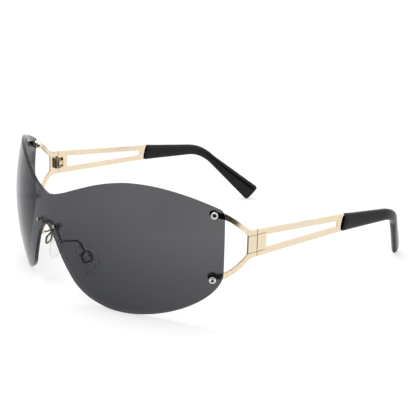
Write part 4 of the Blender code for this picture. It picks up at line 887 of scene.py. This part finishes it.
def make_temple(word, side):
    """Closed ribbon round the long window, mitred at its four corners."""
    x = TEMPLE_OUTER_X
    rear_top = temple_rear(temple_top(TEMPLE_LENGTH))
    outer = np.array([(x, SEAM_GAP, TEMPLE_BOTTOM), (x, temple_rear(TEMPLE_BOTTOM), TEMPLE_BOTTOM),
                      (x, rear_top, temple_top(rear_top)), (x, SEAM_GAP, temple_top(SEAM_GAP))])
    inner = np.array([(x, WINDOW_FRONT, TEMPLE_BOTTOM + BAR_WIDTH), (x, WINDOW_REAR, TEMPLE_BOTTOM + BAR_WIDTH),
                      (x, WINDOW_REAR, temple_top(WINDOW_REAR) - BAR_WIDTH),
                      (x, WINDOW_FRONT, temple_top(WINDOW_FRONT) - BAR_WIDTH)])
    outer, inner = (around_corners(corners, WINDOW_SIDE_POINTS) for corners in (outer, inner))
    rings = ribbon_rings(outer, inner, np.tile([1.0, 0, 0], (len(outer), 1)), PLATE_THICKNESS)
    piece = loft("temple_arm_" + word, toe_in(rings), GOLD, side, closed=True)
    carve(piece, groove_tools(x, -CUT_BEYOND, WINDOW_FRONT - BAR_WIDTH / 4,
                              lambda points: toe_in(points) * (side, 1, 1)))
    # Darker gold painted in the grooves as shade.
    paint_groove_shade(piece, side, toe_out)
    level_edges(piece)
    seat(piece, "temple_" + word, "temple_" + word)


# Temple tips
def tip_rings(end_height, columns=40):
    """Superellipse rings along a straight, a parabolic bend and a widening paddle with a rounded end."""
    start = np.array([TEMPLE_OUTER_X - PLATE_THICKNESS / 2, TEMPLE_LENGTH + SEAT_GAP, TEMPLE_REAR_MIDDLE])
    bend = start + (-TIP_STRAIGHT_INWARD, TIP_STRAIGHT, -TIP_STRAIGHT_DROP)
    end = np.array([bend[0] - TIP_INWARD, bend[1] + TIP_REACH, end_height])
    first, last = unit(bend - start), unit(end - bend)
    straight = np.linalg.norm(bend - start) - TIP_BEND_RADIUS
    body = np.linalg.norm(end - bend) - TIP_BEND_RADIUS - TIP_END_ROUND
    into, out = bend - first * TIP_BEND_RADIUS, bend + last * TIP_BEND_RADIUS
    t = np.linspace(0, 1, TIP_BEND_STEPS + 1)[1:, None]
    on = np.linspace(0, 1, TIP_BODY_STEPS + 1)[:, None]
    turn = np.sin(math.pi / 2 * np.linspace(0, TIP_END_REACH_SHARE, TIP_END_STEPS + 1)[1:])[:, None]
    spot = np.vstack([start + first * straight * on, into * (1 - t) ** 2 + bend * 2 * (1 - t) * t + out * t**2,
                      out + last * body * on[1:], out + last * (body + TIP_END_ROUND * turn)])
    way = np.vstack([mix(np.array([0, 1.0, 0]), first, smooth_share(on)), (bend - into) * (1 - t) + (out - bend) * t,
                     np.tile(last, (TIP_BODY_STEPS + TIP_END_STEPS, 1))])
    way = unit(way)
    travelled = np.concatenate([[0], np.cumsum(np.linalg.norm(np.diff(spot, axis=0), axis=-1))])
    total = travelled[-1]
    bend_at = TIP_STRAIGHT + TIP_BEND_RADIUS
    after = np.clip((travelled - bend_at) / (total - bend_at), 0, 1)
    first_height = PLATE_HEIGHT - TEMPLE_TAPER + 2 * TIP_OVERLAP_HEIGHT
    height = np.where(travelled < bend_at, mix(first_height, TIP_BEND_HEIGHT, travelled / bend_at),
                      mix(TIP_BEND_HEIGHT, TIP_PADDLE_HEIGHT, after))
    thick = mix(TIP_THICKNESS, TIP_PADDLE_THICKNESS, after)
    beyond = np.maximum(travelled - (total - TIP_END_ROUND * turn[-1, 0]), 0) / TIP_END_ROUND
    narrowing = np.sqrt(np.maximum(1 - beyond**2, 0))
    height = height - 2 * TIP_END_ROUND * (1 - narrowing) * TIP_END_CORNER_SHARE
    thick = thick * np.sqrt(narrowing)
    lead = np.minimum(travelled / TIP_START_ROUND, 1)
    lead_in = TIP_START_ROUND * (1 - np.sqrt(1 - (1 - lead) ** 2))
    height, thick = height - 2 * lead_in, thick - 2 * lead_in
    rise = unit(np.array([0, 0, 1.0]) - way * way[:, 2:])
    outward = np.cross(way, rise)
    lean = TIP_SEAM_LEAN / TEMPLE_REAR_HALF * (1 - smooth_share(travelled / TIP_LEAN_FADE))
    rise = rise + lean[:, None] * way
    angle = around(columns) + math.pi / columns
    c, s = np.cos(angle), np.sin(angle)
    power = 2 / mix(TIP_SECTION_POWER, TIP_PADDLE_POWER, smooth_share(after * TIP_SECTION_CHANGE_SPEED))[:, None]
    c, s = np.sign(c) * np.abs(c) ** power, np.sign(s) * np.abs(s) ** power
    return (spot[:, None] + (thick / 2)[:, None, None] * c[..., None] * outward[:, None]
            + (height / 2)[:, None, None] * s[..., None] * rise[:, None])


def make_tip(word, side):
    """Black tip whose paddle is lowered step by step until its lowest point lies on the table."""
    end_height = TIP_PADDLE_HEIGHT / 2
    for _ in range(TIP_LOWERING_STEPS):
        end_height -= tip_rings(end_height)[..., 2].min()
    piece = loft("temple_sleeve_" + word, toe_in(tip_rings(end_height)), ACETATE, side, sharp=60)
    seat(piece, "temple_" + word, "temple_tip_" + word)


# Fasteners
def dome_profile(radius, low, high, steps=10):
    """Quarter ellipse from the top of a dome to its rim, as (radius, height)."""
    turn = np.linspace(0, math.pi / 2, steps + 1)
    return [(radius * math.sin(a), low + (high - low) * math.cos(a)) for a in turn]


def make_nut(name, place, side, face, bore, size, edge, skirt_share, steps):
    """Dome nut behind the lens; size is its radius, height and bore's depth, face the height it starts at."""
    radius, height, depth = size
    skirt = height * skirt_share
    crown = [(r, face - skirt - d) for r, d in dome_profile(radius, 0, height - skirt, steps)]
    outline = [(0.0, face - depth), (bore, face - depth), (bore, face), (radius - edge, face), (radius, face - edge)]
    return turned(name, outline + crown[::-1], place, STEEL, side)


def make_lens_screw(name, place, side):
    """Dome-headed screw: the socket's floor and wall are a hexagon, its mouth is half round, the dome is round.

    The mouth lies on the dome: lip = top - (top - rim) (1 - cos(asin(mouth / head radius)))."""
    top = SEAT_GAP + SCREW_HEAD_HEIGHT
    rim = SEAT_GAP + SCREW_HEAD_HEIGHT / 3
    end = -NUT_DEPTH - SHANK_INTO_NUT
    mouth = SOCKET_RADIUS * SOCKET_MOUTH_SHARE
    lip = top - (top - rim) * (1 - math.cos(math.asin(mouth / SCREW_HEAD_RADIUS)))
    socket = [(0.0, top - SOCKET_DEPTH), (SOCKET_RADIUS * SOCKET_FLOOR_SHARE, top - SOCKET_DEPTH),
              (SOCKET_RADIUS, top - SOCKET_DEPTH * SOCKET_WALL_SHARE), (SOCKET_RADIUS, lip - SCREW_EDGE), (mouth, lip)]
    dome = [point for point in dome_profile(SCREW_HEAD_RADIUS, rim, top, 12) if point[0] > mouth * DOME_START_SHARE]
    shank = [(SCREW_HEAD_RADIUS, SEAT_GAP + SCREW_EDGE), (SCREW_HEAD_RADIUS - SCREW_EDGE, SEAT_GAP),
             (SCREW_SHANK_RADIUS, SEAT_GAP), (SCREW_SHANK_RADIUS, end), (0.0, end)]
    flats = [1.0] * 4 + [0.6] + [0.0] * len(dome + shank)
    screw = turned("hex_screw_" + name, socket + dome + shank, place, STEEL, side, flats=flats)
    # Paints the socket's inside near black as shadow.
    paint_socket_shadow(screw, place, side)
    seat(screw, "front", "lens_screw_" + name)


def make_fasteners(word, side):
    """Screw, clear bush and dome nut at both lens holes of a side, and the rivet-headed nose screw and its nut."""
    for level, place in LENS_SCREWS:
        name = level + "_" + word
        make_lens_screw(name, place, side)
        bore = SCREW_SHANK_RADIUS + RUNNING_GAP
        back = -(FLANGE_DEPTH + BUSH_FLANGE_THICKNESS)
        outline = [(bore, -SEAT_GAP), (BUSH_RADIUS, -SEAT_GAP), (BUSH_RADIUS, -FLANGE_DEPTH),
                   (BUSH_FLANGE_RADIUS - BUSH_EDGE, -FLANGE_DEPTH), (BUSH_FLANGE_RADIUS, -FLANGE_DEPTH - BUSH_EDGE),
                   (BUSH_FLANGE_RADIUS, back + BUSH_EDGE), (BUSH_FLANGE_RADIUS - BUSH_EDGE, back), (bore, back),
                   (bore, -SEAT_GAP)]
        bush = turned("bush_" + name, outline, place, NYLON, side, sharp=50)
        drop_caps(bush)
        seat(bush, "front", "lens_bush_" + name)
        nut = make_nut("dome_nut_" + name, place, side, -NUT_DEPTH, bore, (NUT_RADIUS, NUT_HEIGHT, NUT_BORE_DEPTH),
                       NUT_EDGE, NUT_SKIRT_SHARE, 12)
        seat(nut, "front", "lens_nut_" + name)

    face = -(LENS_THICKNESS + SEAT_GAP + BRIDGE_THICKNESS + SEAT_GAP)
    end = face - NOSE_NUT_HEIGHT / 2
    outline = dome_profile(NOSE_HEAD_RADIUS, SEAT_GAP + NOSE_HEAD_HEIGHT / 4, SEAT_GAP + NOSE_HEAD_HEIGHT)
    outline += [(NOSE_HEAD_RADIUS, SEAT_GAP + NOSE_EDGE), (NOSE_HEAD_RADIUS - NOSE_EDGE, SEAT_GAP),
                (NOSE_SHANK_RADIUS, SEAT_GAP), (NOSE_SHANK_RADIUS, end), (0.0, end)]
    rivet = turned("nose_rivet_" + word, outline, NOSE_SCREW, RIVET_STEEL, side)
    seat(rivet, "front", "nose_screw_" + word)
    size = (NOSE_NUT_RADIUS, NOSE_NUT_HEIGHT, NOSE_NUT_HEIGHT / 2 + SEAT_GAP)
    nut = make_nut("nose_cap_" + word, NOSE_SCREW, side, face, NOSE_SHANK_RADIUS + RUNNING_GAP, size,
                   NOSE_NUT_EDGE, NOSE_NUT_SKIRT_SHARE, 10)
    seat(nut, "front", "nose_nut_" + word)


def paint_socket_shadow(screw, place, side):
    """Painted shadow: a near-black finish on the faces inside the hexagon's mouth, above the floor of the socket."""
    origin, _, _, axis = axis_frame(place)
    away = read_faces(screw, "center", side) - origin
    height = away @ axis
    radius = np.linalg.norm(away - height[:, None] * axis, axis=-1)
    paint_faces(screw, SOCKET_PAINTED_SHADOW, (radius < SOCKET_RADIUS * SOCKET_FIND_SHARE) & (height > 0))


def drop_caps(piece):
    """Removes the flat end faces of a turned ring whose profile closes on itself."""
    shell = bmesh.new()
    shell.from_mesh(piece.data)
    caps = [face for face in shell.faces if len(face.verts) > 4]
    bmesh.ops.delete(shell, geom=caps, context="FACES_ONLY")
    bmesh.ops.recalc_face_normals(shell, faces=shell.faces)
    shell.to_mesh(piece.data)
    shell.free()


BROKEN_EDGE = 0.00006
BROKEN_EDGE_ANGLE = math.radians(38)
FLAT_FACE_ANGLE = math.radians(0.6)
COPY_MERGE_DISTANCE = 1e-6


def merged_copy(node, name, coat, body, sharp=40):
    """Copy of a CAD node with its triangles merged, its flat faces whole and its edges broken."""
    mesh = frame["nodes"][node].data.copy()
    mesh.name = name
    shell = bmesh.new()
    shell.from_mesh(mesh)
    bmesh.ops.remove_doubles(shell, verts=shell.verts, dist=COPY_MERGE_DISTANCE)
    bmesh.ops.dissolve_limit(shell, angle_limit=FLAT_FACE_ANGLE, verts=shell.verts, edges=shell.edges)
    shell.to_mesh(mesh)
    shell.free()
    mesh.materials.clear()
    mesh.materials.append(coat)
    piece = add_object(name, mesh)
    set_shading(piece, sharp)
    bevel = piece.modifiers.new("broken_edges", "BEVEL")
    bevel.width = BROKEN_EDGE
    bevel.segments = 2
    bevel.limit_method = "ANGLE"
    bevel.angle_limit = BROKEN_EDGE_ANGLE
    level_edges(piece)
    seat(piece, body, node)


# Pad arms and pads
LONG_WAY = unit(np.array(PAD_LONG_DIRECTION))
FACE_WAY = np.array(PAD_FACE_DIRECTION)
FACE_WAY = unit(FACE_WAY - LONG_WAY * (FACE_WAY @ LONG_WAY))
WIDTH_WAY = unit(np.cross(FACE_WAY, LONG_WAY))


def bridge_place(share):
    """Place on the lens along the bridge strip's ellipse, from its top (share 0) to the end of a leg (1)."""
    turn = BRIDGE_END_TURN * share
    top = NOTCH_HEIGHT - LENS_FALL + BRIDGE_TOP_ABOVE_NOTCH
    return BRIDGE_HALF_SPAN * math.sin(turn) / LENS_RADIUS, top - BRIDGE_DROP * (1 - math.cos(turn))


def ring_outline(corner_steps=6):
    """Open loop of the pad wire: a rectangle with rounded corners, as (width, length)."""
    half_w, half_l, r = PAD_RING_WIDTH / 2, PAD_RING_LENGTH / 2, PAD_RING_CORNER
    line = [(0.0, -half_l)]
    for w, l, start in ((half_w - r, r - half_l, -90), (half_w - r, half_l - r, 0),
                        (r - half_w, half_l - r, 90), (r - half_w, r - half_l, 180)):
        turn = np.radians(start + 90 * np.arange(corner_steps + 1) / corner_steps)
        line += list(zip(w + r * np.cos(turn), l + r * np.sin(turn)))
    return np.array(line + [(-PAD_ARM_RADIUS - SEAT_GAP, -half_l)])


WIRE_END_SHARE = 0.5
WIRE_LOOP_END_SHARE = 0.2
WIRE_CURL_SHARE = 0.98


def make_pad_arm(word, side, columns=20):
    """Round wire carried along a smoothed path; each end closes in R (cos a, share sin a), a flat half ellipse."""
    leg_depth = LENS_THICKNESS + SEAT_GAP + BRIDGE_THICKNESS + SEAT_GAP + PAD_ARM_RADIUS
    leg = lens_point(*bridge_place(PAD_ARM_START_SHARE), leg_depth)
    reach = PAD_RING - LONG_WAY * PAD_RING_LENGTH / 2 - leg
    outline = ring_outline()
    eye = PAD_RING + outline[:, :1] * WIDTH_WAY + outline[:, 1:] * LONG_WAY
    run = smooth_path(np.vstack([leg + reach * np.array(PAD_ARM_SHARES), eye[:1]]), 6)
    path = np.vstack([run, eye[1:]])
    way = unit(np.gradient(path, axis=0))
    side_way = unit(FACE_WAY - way * (way @ FACE_WAY)[:, None])
    third = np.cross(way, side_way)
    turn = around(columns)
    circle = (np.cos(turn)[None, :, None] * side_way[:, None] + np.sin(turn)[None, :, None] * third[:, None])
    rings = path[:, None] + PAD_ARM_RADIUS * circle
    curl = (np.linspace(0, math.pi / 2, 6)[1:] * WIRE_CURL_SHARE)[:, None, None]

    def cap(k, share):
        return path[k] + PAD_ARM_RADIUS * (np.cos(curl) * circle[k] + share * np.sin(curl) * way[k])

    rings = np.vstack([cap(0, -WIRE_END_SHARE)[::-1], rings, cap(-1, WIRE_LOOP_END_SHARE)])
    # The wire's dark tone is painted reflection.
    piece = loft("pad_wire_" + word, rings, WIRE_GOLD_PAINTED_DARK, side, sharp=180)
    seat(piece, "front", "pad_arm_" + word)


def make_pad(word, side, rows=40, columns=72):
    """Drop-shaped pad: a ball divided by (rim^p + height^p)^(1/p), which fills it out, then pinched at its top.

    Its half towards the lens is wider, its top leans off the wire by lift * length^3, and a shallow dish on
    the back takes the boss."""
    polar = np.linspace(0, math.pi, rows + 1)[:, None]
    turn = around(columns)[None, :]
    rim, f = np.sin(polar), np.cos(polar) + 0 * turn
    fullness = (rim**PAD_FULLNESS + np.abs(np.cos(polar)) ** PAD_FULLNESS) ** (-1 / PAD_FULLNESS)
    w, l, f = rim * np.cos(turn) * fullness, rim * np.sin(turn) * fullness, f * fullness
    pinch = (1 - PAD_PINCH_SHARE * np.maximum(-l, 0)) * np.where(w < 0, PAD_BULGE, 1)
    across, along = PAD_DISH_NARROWNESS
    dish = 1 - PAD_DISH_SHARE * np.exp(-((w * across) ** 2 + (l * along) ** 2))
    f = f * np.where(f < 0, dish, 1 - PAD_CROWN_SHARE * (w**2 + l**2))
    lean = PAD_TOP_LIFT * np.maximum(-l, 0) ** 3
    points = np.stack([w * PAD_WIDTH / 2 * pinch, l * PAD_LENGTH / 2, f * PAD_THICKNESS / 2 + lean], -1)
    centre = PAD_RING + FACE_WAY * (PAD_STANDOFF + PAD_THICKNESS / 2) + LONG_WAY * PAD_SHIFT
    placed = centre + points @ np.array([WIDTH_WAY, LONG_WAY, FACE_WAY])
    piece = make_piece("soft_pad_" + word, placed, grid_faces(rows + 1, columns), SILICONE, side, sharp=180)
    seat(piece, "pad_" + word, "nose_pad_" + word)


make_lens()
for word, side in SIDES:
    make_end_piece(word, side)
    make_temple(word, side)
    make_tip(word, side)
    make_fasteners(word, side)
    make_pad_arm(word, side)
    make_pad(word, side)
    # The hinge block takes the dark gold with painted shade.
    merged_copy("hinge_block_" + word, "hinge_front_" + word, HINGE_GOLD_PAINTED_SHADE, "front")
    merged_copy("temple_hinge_" + word, "hinge_knuckle_" + word, GOLD, "temple_" + word)
    merged_copy("hinge_screw_" + word, "slotted_screw_" + word, STEEL, "front")
    merged_copy("pad_boss_" + word, "pad_stud_" + word, STUD, "pad_" + word)
merged_copy("nose_bridge", "bridge_strip", GOLD, "front", sharp=50)


# Floor, light and camera
def white_where_seen(tree, plain, seen):
    """Strength that is one value for camera, glossy and transmission rays and another for the rest."""
    path = tree.nodes.new("ShaderNodeLightPath")
    rays = path.outputs["Is Camera Ray"]
    for word in ("Is Glossy Ray", "Is Transmission Ray"):
        rays = add_math(tree, "MAXIMUM", rays, path.outputs[word])
    spread = add_math(tree, "MULTIPLY", rays, seen - plain)
    return add_math(tree, "ADD", spread, plain)


DARK_CARD_DIRECTION = (0.795, -0.600, 0.090)
DARK_CARD_EDGE = (0.74, 0.88)
DARK_CARD_DEPTH = 1.11
TABLE_REACH = 0.26
TABLE_TONE = 0.45
TABLE_GLOW_SEEN = 0.62
WORLD_LIGHT = 0.50
WORLD_SEEN = 1.16


def make_floor():
    """White table that keeps the shadow; it ends near the glasses, so that the lens mirrors the surroundings."""
    mesh = bpy.data.meshes.new("table")
    corners = np.array([(-1, -1, 0), (1, -1, 0), (1, 1, 0), (-1, 1, 0)]) * TABLE_REACH
    mesh.from_pydata(corners.tolist(), [], [(0, 1, 2, 3)])
    floor = add_object("table", mesh)
    material = bpy.data.materials.new("white_table")
    material.use_nodes = True
    tree = material.node_tree
    feed(tree, tree.nodes["Principled BSDF"], {
        "Base Color": (TABLE_TONE, TABLE_TONE, TABLE_TONE, 1), "Roughness": 1.0, "Specular IOR Level": 0.0,
        "Emission Color": (1, 1, 1, 1), "Emission Strength": white_where_seen(tree, 0.0, TABLE_GLOW_SEEN)})
    mesh.materials.append(material)


def make_world():
    """White surroundings; polished pieces also mirror one dark card that stands at the front left."""
    world = bpy.data.worlds.new("studio")
    bpy.context.scene.world = world
    world.use_nodes = True
    tree = world.node_tree
    strength = white_where_seen(tree, WORLD_LIGHT, WORLD_SEEN)
    direction = tree.nodes.new("ShaderNodeTexCoord").outputs["Generated"]
    towards = add_node(tree, "VectorMath", {0: direction, 1: DARK_CARD_DIRECTION})
    towards.operation = "DOT_PRODUCT"
    card = add_range(tree, towards.outputs["Value"], DARK_CARD_EDGE, (0.0, DARK_CARD_DEPTH), smooth=True)
    glossy = tree.nodes.new("ShaderNodeLightPath").outputs["Is Glossy Ray"]
    taken = add_math(tree, "MULTIPLY", card, glossy)
    feed(tree, tree.nodes["Background"], {"Color": (1, 1, 1, 1),
                                          "Strength": add_math(tree, "SUBTRACT", strength, taken)})


def add_softbox(name, place, target, size, power):
    """Rectangular studio lamp that faces its target."""
    lamp = bpy.data.lights.new(name, "AREA")
    lamp.shape = "RECTANGLE"
    lamp.size, lamp.size_y = size
    lamp.energy = power
    item = add_object(name, lamp)
    item.location = place
    item.rotation_euler = (Vector(target) - Vector(place)).to_track_quat("-Z", "Y").to_euler()


CAMERA_PLACE = (0.389394, SEAM_Y - 0.291617, 0.182999)
CAMERA_RIGHT = (0.62881569, 0.77720078, 0.0234474)
CAMERA_UP = (-0.24673655, 0.17085066, 0.9539031)
CAMERA_AHEAD = (-0.73736823, 0.60561456, -0.29919742)
FRAME_PIXELS = 416
FOCAL_PIXELS = 1122.7
MIDDLE_PIXELS = (194.3, 204.8)


def make_camera():
    """Pinhole camera as solved from the photograph, its middle off the frame's by the lens shift."""
    lens = bpy.data.cameras.new("camera")
    lens.sensor_width = 36
    lens.lens = FOCAL_PIXELS * lens.sensor_width / FRAME_PIXELS
    lens.shift_x = (FRAME_PIXELS / 2 - MIDDLE_PIXELS[0]) / FRAME_PIXELS
    lens.shift_y = (MIDDLE_PIXELS[1] - FRAME_PIXELS / 2) / FRAME_PIXELS
    camera = add_object("camera", lens)
    columns = (Vector(CAMERA_RIGHT), Vector(CAMERA_UP), -Vector(CAMERA_AHEAD))
    turn = Matrix(columns).transposed().to_4x4()
    camera.matrix_world = Matrix.Translation(CAMERA_PLACE) @ turn
    bpy.context.scene.camera = camera


make_floor()
make_world()
add_softbox("softbox_above", (-0.25, -0.10, 0.95), (0, 0, 0.02), (0.9, 0.9), 8.0)
add_softbox("softbox_side", (0.75, 0.55, 0.55), (0, 0, 0.03), (0.6, 0.6), 0.6)
make_camera()
bpy.context.scene.view_settings.view_transform = "Standard"
